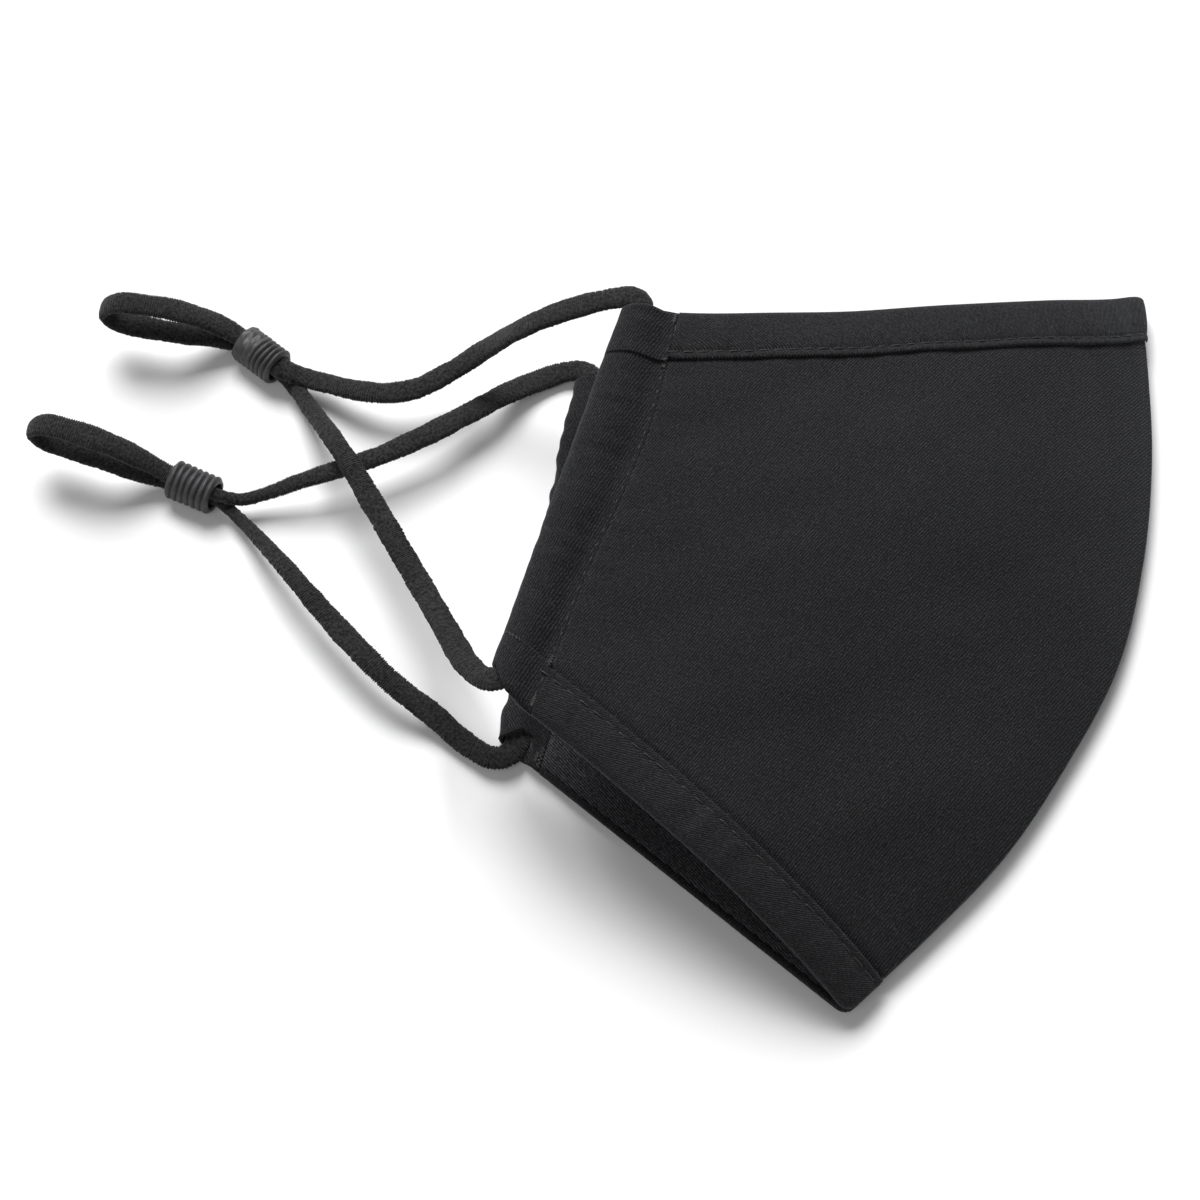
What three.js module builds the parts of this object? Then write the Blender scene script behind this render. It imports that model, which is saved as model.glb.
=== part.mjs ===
// A cloth face mask that lies folded in half along its curved centre seam.
// The far half lies on the surface, the near half springs up over it as a dome, and two elastic
// ear cords run through the hollow casings at the ear edges and through ribbed adjuster beads.
// Millimetres, +Z up, +Y towards the nose, +X towards the centre seam, origin under the middle of the body.
import * as THREE from "three";

// Body of the mask
const bodyWidth = 128; // ear edge to the furthest point of the centre seam
const bodyLength = 151; // chin tip to nose corner
const openingLift = 34; // height of the near half above the surface at its top ear corner
const chinLift = 30; // the same at its chin ear corner
const crownRise = 3; // extra swell in the middle of the near half
const dentDepth = 1.6; // deepest soft dent in the near half

// Cloth
const panelWall = 1.5;
const hemWall = 1;
const topHemWidth = 10.3;
const chinHemWidth = 9;
const clearance = 0.3;

// Casings and the cords in them
const casingWidth = 10.2; // ear edge to the end of the sewn flange
const casingWall = 1;
const cordWidth = 4.6;
const cordThickness = 2.2;
const cordPlay = 0.45; // free space all round a cord inside its casing
const nearMitre = 3; // how much earlier the ear side of a casing's chin mouth ends
const farMitre = 2;
const valleyShare = 0.82; // where the flange of a casing pinches, as a share of the casing's width

// Adjuster beads
const beadLength = 9.2;
const beadBore = 6.1;
const beadWall = 0.3; // between the bore and the bottom of a groove
const beadRib = 0.35; // height of a rib above the grooves
const beadRibs = 7;
const beadSides = 14;
const surfaceGap = 0.1; // between a bead and the surface that it lies on

// How finely the soft pieces are stepped
const panelSteps = 20;
const bandSteps = 20;
const casingSteps = 18;
const casingSides = 14;
const cordSides = 8;
const cordSteps = 80;

// Corners of the body in plan, as shares of its width and length from the middle
const corners = {
  nose: { x: 0.487, y: 0.496 },
  chin: { x: -0.009, y: -0.498 },
  nearEarTop: { x: -0.312, y: 0.348 },
  nearEarChin: { x: -0.501, y: -0.152 },
  farEarTop: { x: -0.382, y: 0.371 },
  farEarChin: { x: -0.492, y: -0.143 },
};

// How far the centre seam bulges past the line from chin to nose: along that line, out as a share of the width
const seamBulge = [
  { along: 0, out: 0 },
  { along: 0.1, out: 0.074 },
  { along: 0.2, out: 0.135 },
  { along: 0.32, out: 0.172 },
  { along: 0.45, out: 0.193 },
  { along: 0.6, out: 0.172 },
  { along: 0.75, out: 0.124 },
  { along: 0.9, out: 0.055 },
  { along: 1, out: 0 },
];

// How far the top edge dips below the line from nose to ear: from the seam outwards, dip as a share of the length
const topDip = [
  { across: 0, dip: 0 },
  { across: 0.07, dip: 0.021 },
  { across: 0.19, dip: 0.034 },
  { across: 0.39, dip: 0.047 },
  { across: 0.58, dip: 0.048 },
  { across: 0.75, dip: 0.038 },
  { across: 0.87, dip: 0.026 },
  { across: 1, dip: 0 },
];

// How the near half rises from the seam to the ear edge, as a share of its lift there
const archRise = [
  { across: 0, rise: 0 },
  { across: 0.07, rise: 0.175 },
  { across: 0.19, rise: 0.4 },
  { across: 0.39, rise: 0.675 },
  { across: 0.58, rise: 0.825 },
  { across: 0.75, rise: 0.92 },
  { across: 1, rise: 1 },
];

// Soft dents and swells of the near half: place and reach as shares across and along, depth of dentDepth
const dents = [
  { across: 0.22, along: 0.42, reach: 0.13, depth: 1 },
  { across: 0.42, along: 0.2, reach: 0.12, depth: 0.8 },
  { across: 0.72, along: 0.3, reach: 0.12, depth: 0.7 },
  { across: 0.45, along: 0.62, reach: 0.16, depth: -0.8 },
  { across: 0.2, along: 0.16, reach: 0.1, depth: -0.5 },
];

// Routes of the ear cords, chosen by hand: from inside the top of a casing, out along the surface, through the
// bead, round the small loop, back through the bead and up inside the casing again
const nearRoute = [
  [-39.7, 41.0, 33.5],
  [-37.9, 47.0, 33.7],
  [-36.4, 51.8, 33.9],
  [-36.3, 53.8, 34.0],
  [-37.6, 55.2, 33.9],
  [-40.1, 55.6, 33.3],
  [-45.6, 56.0, 30.6],
  [-52.0, 57.2, 24.8],
  [-59.2, 58.8, 16.2],
  [-66.0, 59.0, 8.4],
  [-73.2, 57.0, 2.9],
  [-79.6, 54.0, 1.3],
  [-85.6, 52.7, 1.3],
  [-91.6, 53.5, 1.3],
  [-97.0, 55.0, 1.4],
  [-102.2, 55.9, 3.0],
  [-106.0, 57.5, 4.9],
  [-110.4, 61.3, 4.9],
  [-114.8, 65.0, 4.9],
  [-119.0, 67.3, 5.4],
  [-125.6, 69.2, 6.4],
  [-132.5, 70.2, 7.0],
  [-138.2, 70.8, 6.8],
  [-140.8, 71.0, 4.2],
  [-138.6, 70.2, 1.6],
  [-132.4, 68.6, 1.3],
  [-125.4, 67.3, 1.4],
  [-119.4, 66.6, 1.8],
  [-114.8, 65.0, 2.6],
  [-110.4, 61.3, 2.6],
  [-106.0, 57.5, 2.6],
  [-103.0, 54.2, 1.8],
  [-100.4, 50.4, 1.8],
  [-95.8, 42.9, 3.7],
  [-91.5, 35.4, 4.9],
  [-87.8, 29.0, 4.0],
  [-83.8, 21.6, 4.1],
  [-79.2, 11.6, 7.0],
  [-74.9, 1.4, 11.4],
  [-72.0, -6.1, 16.0],
  [-69.9, -12.0, 20.4],
  [-68.3, -16.6, 24.4],
  [-67.0, -20.2, 27.4],
  [-65.4, -22.8, 28.8],
  [-63.2, -24.0, 29.5],
  [-61.1, -23.2, 30.0],
  [-59.4, -20.2, 30.2],
  [-56.0, -10.0, 30.9],
  [-51.1, 5.1, 31.8],
  [-46.0, 21.0, 32.6],
  [-40.9, 37.2, 33.3],
];
const farRoute = [
  [-47.8, 41.0, 2.55],
  [-46.7, 47.0, 2.55],
  [-45.5, 53.6, 2.55],
  [-45.5, 56.8, 2.5],
  [-47.2, 58.6, 2.2],
  [-50.4, 58.8, 1.8],
  [-55.0, 57.4, 1.4],
  [-61.6, 54.2, 1.3],
  [-68.4, 49.8, 1.3],
  [-77.1, 44.4, 1.3],
  [-85.9, 39.8, 1.3],
  [-92.4, 37.2, 1.3],
  [-101.4, 34.0, 1.3],
  [-107.4, 31.5, 1.5],
  [-112.8, 29.2, 3.0],
  [-117.4, 29.2, 4.9],
  [-122.0, 31.4, 4.9],
  [-126.6, 33.6, 4.9],
  [-130.4, 35.8, 5.4],
  [-136.6, 38.8, 6.2],
  [-143.6, 41.4, 6.9],
  [-150.0, 43.2, 6.8],
  [-152.8, 43.8, 4.2],
  [-150.2, 43.0, 1.6],
  [-143.8, 40.7, 1.3],
  [-136.9, 37.9, 1.4],
  [-131.0, 35.3, 1.8],
  [-126.6, 33.6, 2.6],
  [-122.0, 31.4, 2.6],
  [-117.4, 29.2, 2.6],
  [-114.2, 26.8, 1.7],
  [-111.4, 24.2, 1.3],
  [-104.0, 16.0, 1.3],
  [-96.0, 6.1, 1.3],
  [-89.1, -2.0, 1.3],
  [-81.4, -10.2, 1.3],
  [-74.9, -16.0, 1.3],
  [-70.0, -20.0, 1.3],
  [-66.6, -23.0, 1.4],
  [-63.8, -25.0, 1.8],
  [-61.5, -24.8, 2.3],
  [-60.0, -22.6, 2.55],
  [-58.2, -15.4, 2.55],
  [-55.5, -1.6, 2.55],
  [-52.9, 12.4, 2.55],
  [-50.4, 26.2, 2.55],
  [-48.7, 35.7, 2.55],
];

// Where each bead sits on its cord and which way it points, in plan
const nearBeadPlace = { x: -110.4, y: 61.3, turn: -40.4 };
const farBeadPlace = { x: -122.0, y: 31.4, turn: -25.5 };

// Smooth curve through the rows of a table, read at one place
function smoothRead(rows, placeColumn, valueColumn, at) {
  const last = rows.length - 1;
  let i = 0;
  while (i < last - 1 && rows[i + 1][placeColumn] < at) i += 1;
  const slopeAt = (k) => {
    const before = rows[Math.max(k - 1, 0)];
    const after = rows[Math.min(k + 1, last)];
    return (after[valueColumn] - before[valueColumn]) / (after[placeColumn] - before[placeColumn]);
  };
  const step = rows[i + 1][placeColumn] - rows[i][placeColumn];
  const t = (at - rows[i][placeColumn]) / step;
  const startBlend = 2 * t ** 3 - 3 * t ** 2 + 1;
  const endBlend = 1 - startBlend;
  return (
    startBlend * rows[i][valueColumn] +
    endBlend * rows[i + 1][valueColumn] +
    (t ** 3 - 2 * t ** 2 + t) * step * slopeAt(i) +
    (t ** 3 - t ** 2) * step * slopeAt(i + 1)
  );
}

const mix = THREE.MathUtils.lerp;
const inPlan = (corner) => new THREE.Vector2(corner.x * bodyWidth, corner.y * bodyLength);

// Plan of one half: across runs from the seam (0) to the ear edge (1), along from the chin (0) to the top (1)
function planOf(earTop, earChin) {
  const nose = inPlan(corners.nose);
  const chin = inPlan(corners.chin);
  return (across, along) => {
    const seamSide = chin.clone().lerp(nose, along);
    const earSide = inPlan(earChin).lerp(inPlan(earTop), along);
    const point = seamSide.lerp(earSide, across);
    point.x += (1 - across) * bodyWidth * smoothRead(seamBulge, "along", "out", along);
    point.y -= along * bodyLength * smoothRead(topDip, "across", "dip", across);
    return point;
  };
}

// The far half: its middle sags flat onto the surface, its edges stand on their hems
const bandStand = clearance + hemWall; // how far a hem stands out from the panel's outer face
const farRest = panelWall / 2; // middle of the wall where the panel touches the surface
const farEdge = panelWall / 2 + bandStand; // the same above a hem
const sagWidth = 14; // from the end of a hem to where the panel has sagged down
const farPlan = planOf(corners.farEarTop, corners.farEarChin);
function farMiddle(across, along) {
  const plan = farPlan(across, along);
  const fromTop = (1 - along) * edgeRate(farPlan, across, 1) - topHemWidth;
  const fromChin = along * edgeRate(farPlan, across, 0) - chinHemWidth;
  const fromEar = (1 - across) * sideLength(farPlan, along, "across") - casingWidth;
  const fromSeam = across * sideLength(farPlan, along, "across");
  const inside = Math.min(fromTop, fromChin, fromEar, fromSeam);
  const sag = THREE.MathUtils.smoothstep(inside, 0, sagWidth);
  return new THREE.Vector3(plan.x, plan.y, mix(farEdge, farRest, sag));
}

// Straight length of a half at one place, across it or along it
function sideLength(plan, at, direction) {
  return direction === "across" ? plan(0, at).distanceTo(plan(1, at)) : plan(at, 0).distanceTo(plan(at, 1));
}

// How many millimetres a whole share along a half would be, measured beside its chin edge (0) or top edge (1)
function edgeRate(plan, across, edge) {
  const reach = 0.06;
  const inside = Math.abs(edge - reach);
  return plan(across, edge).distanceTo(plan(across, inside)) / reach;
}

// The near half: an arch from the seam up to the ear edge, with a crown and soft dents
const seamHeight = farEdge + panelWall + 2 * clearance;
const nearPlan = planOf(corners.nearEarTop, corners.nearEarChin);
function nearMiddle(across, along) {
  const plan = nearPlan(across, along);
  const lift = mix(chinLift, openingLift, along) - seamHeight;
  const arch = lift * smoothRead(archRise, "across", "rise", across);
  const inner = Math.sin(Math.PI * across) * Math.sin(Math.PI * along);
  let swell = crownRise * inner;
  for (const dent of dents) {
    const distance = Math.hypot(across - dent.across, along - dent.along) / dent.reach;
    swell -= dentDepth * dent.depth * Math.exp(-distance * distance) * Math.min(1, 4 * inner);
  }
  return new THREE.Vector3(plan.x, plan.y, seamHeight + arch + swell);
}

// One half as a surface that pieces are laid on: at(across, along, out) lies out millimetres outside its middle
function makeHalf(middle, plan, outwardSign) {
  const nudge = 1e-3;
  const at = (across, along, out) => {
    const a = THREE.MathUtils.clamp(across, nudge, 1 - nudge);
    const b = THREE.MathUtils.clamp(along, nudge, 1 - nudge);
    const alongAcross = middle(a + nudge, b).sub(middle(a - nudge, b));
    const alongAlong = middle(a, b + nudge).sub(middle(a, b - nudge));
    const normal = alongAlong.cross(alongAcross).normalize().multiplyScalar(outwardSign);
    return middle(across, along).addScaledVector(normal, out);
  };
  return {
    at,
    acrossFromEar: (distance, along) => 1 - distance / sideLength(plan, along, "across"),
    alongFromChin: (distance, across) => distance / edgeRate(plan, across, 0),
    alongFromTop: (distance, across) => 1 - distance / edgeRate(plan, across, 1),
  };
}
const nearHalf = makeHalf(nearMiddle, nearPlan, 1);
const farHalf = makeHalf(farMiddle, farPlan, -1);

// A closed body through rings of points; inner rings, where given, make it a tube
function loft(rings, ringFaces, innerRings = null) {
  const points = [];
  const faces = [];
  const count = rings[0].length;
  const quad = (p, q, r, s) => faces.push([p, q, r], [p, r, s]);
  const addWall = (wallRings, reversed) => {
    const start = points.length;
    for (const ring of wallRings) points.push(...ring);
    const sides = wallRings[0].length;
    for (let i = 0; i < wallRings.length - 1; i += 1) {
      for (let k = 0; k < sides; k += 1) {
        const next = (k + 1) % sides;
        const low = start + i * sides;
        const high = low + sides;
        if (reversed) quad(low + k, high + k, high + next, low + next);
        else quad(low + k, low + next, high + next, high + k);
      }
    }
    return start;
  };
  const outerStart = addWall(rings, false);
  const outerEnd = outerStart + (rings.length - 1) * count;
  if (innerRings) {
    const innerStart = addWall(innerRings, true);
    const innerEnd = innerStart + (innerRings.length - 1) * count;
    for (let k = 0; k < count; k += 1) {
      const next = (k + 1) % count;
      quad(outerStart + next, outerStart + k, innerStart + k, innerStart + next);
      quad(outerEnd + k, outerEnd + next, innerEnd + next, innerEnd + k);
    }
  } else {
    for (const [p, q, r] of ringFaces) {
      faces.push([outerStart + r, outerStart + q, outerStart + p]);
      faces.push([outerEnd + p, outerEnd + q, outerEnd + r]);
    }
  }
  return closedGeometry(points, faces);
}

// Geometry of a closed body, turned so that its faces point out
function closedGeometry(points, faces) {
  let volume = 0;
  for (const [p, q, r] of faces) volume += points[p].dot(points[q].clone().cross(points[r]));
  const index = faces.flatMap(([p, q, r]) => (volume < 0 ? [p, r, q] : [p, q, r]));
  const geometry = new THREE.BufferGeometry().setFromPoints(points);
  geometry.setIndex(index);
  geometry.computeVertexNormals();
  return geometry;
}

const evenShares = (steps) => Array.from({ length: steps + 1 }, (_, i) => i / steps);

// Main panel of one half: a wall between the two hems, from the seam to the casing
function panelGeometry(half) {
  const rings = evenShares(panelSteps).map((row) => {
    const outer = [];
    const inner = [];
    for (const column of evenShares(panelSteps)) {
      const acrossEnd = half.acrossFromEar(casingWidth + clearance, 0.5);
      const rough = row * acrossEnd;
      const bottom = half.alongFromChin(hemWall + clearance, rough);
      const top = half.alongFromTop(hemWall + clearance, rough);
      const along = mix(bottom, top, column);
      const across = row * half.acrossFromEar(casingWidth + clearance, along);
      outer.push(half.at(across, along, panelWall / 2));
      inner.unshift(half.at(across, along, -panelWall / 2));
    }
    return [...outer, ...inner];
  });
  const last = 2 * (panelSteps + 1) - 1;
  const strip = evenShares(panelSteps)
    .slice(1)
    .flatMap((_, i) => [
      [i, i + 1, last - i - 1],
      [i, last - i - 1, last - i],
    ]);
  return loft(rings, strip);
}

// Turned hem of one half: a band outside the panel that wraps its edge; in distances from the edge and out
const bandBottom = panelWall / 2 + clearance;
const bandTop = panelWall / 2 + bandStand;
const hemSection = (hemWidth) => [
  { inward: hemWidth, out: bandBottom },
  { inward: hemWidth, out: bandTop },
  { inward: hemWall / 2, out: bandTop },
  { inward: 0, out: bandTop - hemWall / 2 },
  { inward: 0, out: -panelWall / 2 + hemWall / 4 },
  { inward: hemWall / 4, out: -panelWall / 2 },
  { inward: hemWall, out: -panelWall / 2 },
  { inward: hemWall, out: bandBottom },
];
function hemGeometry(half, alongFromEdge, hemWidth) {
  const section = hemSection(hemWidth);
  const outline = section.map((point) => new THREE.Vector2(point.inward, point.out));
  const ringFaces = THREE.ShapeUtils.triangulateShape(outline, []);
  const rings = evenShares(bandSteps).map((row) =>
    section.map((point) => {
      const rough = row * half.acrossFromEar(casingWidth + clearance, 0.5);
      const along = alongFromEdge(point.inward, rough);
      const across = row * half.acrossFromEar(casingWidth + clearance, along);
      return half.at(across, alongFromEdge(point.inward, across), point.out);
    }),
  );
  return loft(rings, ringFaces);
}

// Casing of one half: a hollow sleeve along the ear edge, drop-shaped, that thins to the sewn flange.
// The hems run on over it, so its outer face stands as high as they do near both ends.
const boreHalfWidth = cordWidth / 2 + cordPlay;
const boreHalfHeight = cordThickness / 2 + cordPlay;
const sleeveHalfWidth = boreHalfWidth + casingWall;
const sleeveHalfHeight = boreHalfHeight + casingWall;
const chinHemEnd = nearHalf.alongFromChin(chinHemWidth, 1); // where the chin hem ends on the ear edge
const topHemEnd = nearHalf.alongFromTop(topHemWidth, 1);
const nearSleeve = { boreOut: 0.25, mitre: nearMitre }; // hangs free, so it bulges to both sides
const farSleeve = { boreOut: bandTop - sleeveHalfHeight, mitre: farMitre }; // lies flat, so it bulges inwards
function casingRing(half, station, sleeve, stand, hollow) {
  const { boreOut, mitre } = sleeve;
  return Array.from({ length: casingSides }, (_, k) => {
    const angle = (2 * Math.PI * k) / casingSides;
    const side = Math.cos(angle);
    const height = Math.sin(angle);
    const cutBack = half.alongFromChin(mitre, 1) * ((1 + side) / 2) * Math.max(0, 1 - station / chinHemEnd);
    const along = station + cutBack;
    if (hollow) {
      const across = half.acrossFromEar(sleeveHalfWidth - boreHalfWidth * side, along);
      return half.at(across, along, boreOut + boreHalfHeight * height);
    }
    const flange = side < -0.5;
    const pinch = side < 0 && !flange;
    const inward = flange
      ? casingWidth
      : pinch
        ? mix(sleeveHalfWidth, casingWidth * valleyShare, -2 * side)
        : sleeveHalfWidth * (1 - side);
    const full = boreOut + sleeveHalfHeight * height;
    const thin = Math.sign(height) * (panelWall / 2) + (height > 0 ? stand : 0);
    const out = flange ? thin : pinch ? mix(full, thin, -1.2 * side) : full;
    return half.at(half.acrossFromEar(inward, along), along, out);
  });
}
function casingGeometry(half, sleeve) {
  const rings = [];
  const innerRings = [];
  for (const station of [...evenShares(casingSteps), chinHemEnd, topHemEnd].sort((p, q) => p - q)) {
    const onHem = station <= chinHemEnd || station >= topHemEnd;
    rings.push(casingRing(half, station, sleeve, onHem ? bandStand : 0, false));
    innerRings.push(casingRing(half, station, sleeve, 0, true));
  }
  return loft(rings, null, innerRings);
}

// A flattened cord along its route, kept level so that it lies on its flat side
class CordPath extends THREE.CatmullRomCurve3 {
  // Steps follow the route's points, which stand closer together in the tight bends
  getUtoTmapping(u) {
    return u;
  }

  computeFrenetFrames(segments) {
    const frames = super.computeFrenetFrames(segments, false);
    const up = new THREE.Vector3(0, 0, 1);
    const steepest = 0.8;
    let twist = 0;
    for (let i = 0; i <= segments; i += 1) {
      const tangent = frames.tangents[i];
      const level = up.clone().cross(tangent);
      if (Math.abs(tangent.z) < steepest) {
        level.normalize();
        const wanted = Math.atan2(-level.dot(frames.normals[i]), level.dot(frames.binormals[i]));
        twist = wanted + Math.PI * Math.round((twist - wanted) / Math.PI);
      }
      const turn = new THREE.Quaternion().setFromAxisAngle(tangent, twist);
      frames.normals[i].applyQuaternion(turn);
      frames.binormals[i].applyQuaternion(turn);
    }
    return frames;
  }
}
function cordGeometry(route) {
  const path = new CordPath(route.map((point) => new THREE.Vector3(...point)));
  const section = new THREE.Shape();
  const corner = Math.PI / cordSides;
  for (let k = 0; k < cordSides; k += 1) {
    const angle = corner * (2 * k + 1);
    const point = [(cordThickness / 2) * Math.cos(angle), (cordWidth / 2) * Math.sin(angle)];
    if (k === 0) section.moveTo(...point);
    else section.lineTo(...point);
  }
  section.closePath();
  return new THREE.ExtrudeGeometry(section, { steps: cordSteps, extrudePath: path, curveSegments: 1 });
}

// Ribbed rubber bead, a ring about its bore
const grooveRadius = beadBore / 2 + beadWall;
const ribRadius = grooveRadius + beadRib;
function beadGeometry() {
  const pitch = beadLength / beadRibs;
  const profile = [new THREE.Vector2(beadBore / 2, -beadLength / 2)];
  for (let rib = 0; rib < beadRibs; rib += 1) {
    const start = -beadLength / 2 + rib * pitch;
    profile.push(new THREE.Vector2(grooveRadius, start));
    profile.push(new THREE.Vector2(ribRadius, start + pitch * 0.3));
    profile.push(new THREE.Vector2(ribRadius, start + pitch * 0.7));
  }
  profile.push(new THREE.Vector2(grooveRadius, beadLength / 2));
  profile.push(new THREE.Vector2(beadBore / 2, beadLength / 2));
  profile.push(profile[0].clone());
  return new THREE.LatheGeometry(profile, beadSides);
}
function placedBead(name, place) {
  const bead = named(name, beadGeometry(), rubber);
  const holder = new THREE.Group();
  bead.rotation.z = -Math.PI / 2; // the lathe's axis lies along X
  holder.rotation.z = THREE.MathUtils.degToRad(place.turn);
  holder.position.set(place.x, place.y, ribRadius + surfaceGap);
  holder.add(bead);
  return holder;
}

// Materials
const clothColour = 0x2c2c2f;
const twill = new THREE.MeshStandardMaterial({ color: clothColour, roughness: 0.92, metalness: 0 });
const knit = new THREE.MeshStandardMaterial({ color: 0x242426, roughness: 0.95, metalness: 0 });
const rubber = new THREE.MeshStandardMaterial({ color: 0x474749, roughness: 0.6, metalness: 0 });

function named(name, geometry, material) {
  const mesh = new THREE.Mesh(geometry, material);
  mesh.name = name;
  return mesh;
}

const mask = new THREE.Group();
for (const [side, half, sleeve] of [
  ["near", nearHalf, nearSleeve],
  ["far", farHalf, farSleeve],
]) {
  mask.add(named(side + "_panel", panelGeometry(half), twill));
  mask.add(named(side + "_top_hem", hemGeometry(half, half.alongFromTop, topHemWidth), twill));
  mask.add(named(side + "_chin_hem", hemGeometry(half, half.alongFromChin, chinHemWidth), twill));
  mask.add(named(side + "_side_casing", casingGeometry(half, sleeve), twill));
}
mask.add(named("near_ear_cord", cordGeometry(nearRoute), knit));
mask.add(named("far_ear_cord", cordGeometry(farRoute), knit));
mask.add(placedBead("near_cord_bead", nearBeadPlace));
mask.add(placedBead("far_cord_bead", farBeadPlace));

export default mask;
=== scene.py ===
"""Dresses a cloth face mask that lies folded in half: twill halves, hems, casings, ear cords and beads.

Everything is in metres in the part's own frame: +Z up, +Y towards the nose, +X towards the centre seam.
"""

from __future__ import annotations

import logging
import math
from dataclasses import dataclass, field
from enum import Enum
from typing import Any, Callable, Sequence

import bpy
import numpy as np
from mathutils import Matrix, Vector

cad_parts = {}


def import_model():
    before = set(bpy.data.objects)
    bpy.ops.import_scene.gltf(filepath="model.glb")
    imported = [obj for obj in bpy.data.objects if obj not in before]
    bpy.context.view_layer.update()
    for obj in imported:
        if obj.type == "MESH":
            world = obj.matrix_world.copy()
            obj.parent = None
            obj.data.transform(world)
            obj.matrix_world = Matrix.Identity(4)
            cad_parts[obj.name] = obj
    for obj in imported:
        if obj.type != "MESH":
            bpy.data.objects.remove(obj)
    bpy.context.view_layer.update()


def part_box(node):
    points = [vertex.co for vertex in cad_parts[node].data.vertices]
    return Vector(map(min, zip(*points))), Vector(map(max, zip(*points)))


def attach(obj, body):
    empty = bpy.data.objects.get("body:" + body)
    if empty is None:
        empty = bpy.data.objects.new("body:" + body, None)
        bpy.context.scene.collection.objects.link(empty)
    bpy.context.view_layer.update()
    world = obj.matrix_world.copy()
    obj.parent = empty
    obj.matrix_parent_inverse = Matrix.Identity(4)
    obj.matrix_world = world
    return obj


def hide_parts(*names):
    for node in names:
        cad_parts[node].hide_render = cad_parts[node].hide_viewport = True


Array = np.ndarray
Material = bpy.types.Material
Node = bpy.types.Node
Piece = bpy.types.Object
Socket = bpy.types.NodeSocket
Tree = bpy.types.NodeTree
Colour = tuple[float, float, float]
Route = tuple[tuple[float, float, float], ...]
MM = 0.001
BODY = "root"
log = logging.getLogger("mask")


class Side(Enum):
    """The two halves of the folded mask."""

    NEAR = "near"
    FAR = "far"


class Edge(Enum):
    """The edge of a half that a hem is turned over."""

    TOP = "top_hem"
    CHIN = "chin_hem"


class Slot(Enum):
    """Material slots of the record."""

    TWILL = "twill_cloth"
    KNIT = "knit_elastic"
    RUBBER = "ribbed_rubber"


# Smooth curves


@dataclass(frozen=True)
class Profile:
    """A smooth curve through a few given places."""

    places: tuple[float, ...]
    values: tuple[float, ...]

    def read(self, at: Array) -> Array:
        """Reads the curve.

        Args:
            at: The places to read it at.

        Returns:
            The curve's value at each place.
        """
        x = np.asarray(self.places)
        y = np.asarray(self.values)
        last = len(x) - 1
        before = np.maximum(np.arange(last + 1) - 1, 0)
        after = np.minimum(np.arange(last + 1) + 1, last)
        slope = (y[after] - y[before]) / (x[after] - x[before])
        i = np.clip(np.searchsorted(x, at, side="left") - 1, 0, last - 1)
        step = x[i + 1] - x[i]
        t = (at - x[i]) / step
        start = 2 * t**3 - 3 * t**2 + 1
        bend_in = (t**3 - 2 * t**2 + t) * step * slope[i]
        bend_out = (t**3 - t**2) * step * slope[i + 1]
        return start * y[i] + (1 - start) * y[i + 1] + bend_in + bend_out


def ease(value: Array, low: float, high: float) -> Array:
    """Smooth step.

    Args:
        value: The values to ease.
        low: Where the step starts.
        high: Where the step ends.

    Returns:
        0 before low, 1 after high and a smooth rise between them.
    """
    t = np.clip((value - low) / (high - low), 0, 1)
    return t * t * (3 - 2 * t)


def bell(value: Array, reach: Any) -> Array:
    """Bell curve that is 1 at zero and fades over the reach."""
    return np.exp(-((value / reach) ** 2))


def unit(vectors: Array) -> Array:
    """The same directions, each 1 long."""
    return vectors / np.linalg.norm(vectors, axis=-1, keepdims=True)


def run_length(line: Array) -> float:
    """Length of a line through points."""
    return float(np.linalg.norm(np.diff(line, axis=0), axis=1).sum())


def one_shape(*values: Any) -> Sequence[Array]:
    """Gives several arrays of numbers one shape."""
    return np.broadcast_arrays(*(np.asarray(value, float) for value in values))


@dataclass(frozen=True)
class Ripple:
    """An uneven run of waves, whose pitch sways along it."""

    turns: float
    depth: float
    sway: float = 0.0
    sway_turns: float = 0.0
    start: float = 0.0
    sway_start: float = 0.0

    def read(self, at: Array) -> Array:
        """Height of the waves at each place."""
        swayed = self.sway * np.sin(self.sway_turns * at + self.sway_start)
        return np.sin(self.turns * at + swayed + self.start) * self.depth


def rippled(waves: Sequence[Ripple], at: Array) -> Array:
    """Sum of several runs of waves."""
    return sum(wave.read(at) for wave in waves)


# Both halves bulge past the straight line from chin to nose: along it, out as a share of the width
SEAM_BULGE = Profile(
    (0, 0.1, 0.2, 0.32, 0.45, 0.6, 0.75, 0.9, 1),
    (0, 0.074, 0.135, 0.171, 0.19, 0.167, 0.119, 0.051, 0),
)
# The top edge dips below the line from nose to ear: from the seam outwards, as a share of the length
TOP_DIP = Profile(
    (0, 0.07, 0.19, 0.39, 0.58, 0.75, 0.87, 1),
    (0, 0.018, 0.031, 0.044, 0.045, 0.034, 0.022, 0),
)
# The near half rises from the seam to the ear edge, as a share of its lift there
ARCH_RISE = Profile((0, 0.07, 0.19, 0.39, 0.58, 0.75, 1), (0, 0.175, 0.4, 0.675, 0.825, 0.92, 1))
# The near casing's sewn line bows away from the ear edge: from the chin up, in metres
CASING_BOW = Profile(
    (0, 0.3, 0.38, 0.52, 0.71, 0.83, 0.966, 1),
    (0, 0.2 * MM, 0.6 * MM, 1.6 * MM, 2.3 * MM, 1.8 * MM, 0.9 * MM, 0.8 * MM),
)


@dataclass(frozen=True)
class Dent:
    """A soft dent of the near half: place and reach as shares across and along, depth as a share."""

    across: float
    along: float
    reach: float
    depth: float


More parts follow.
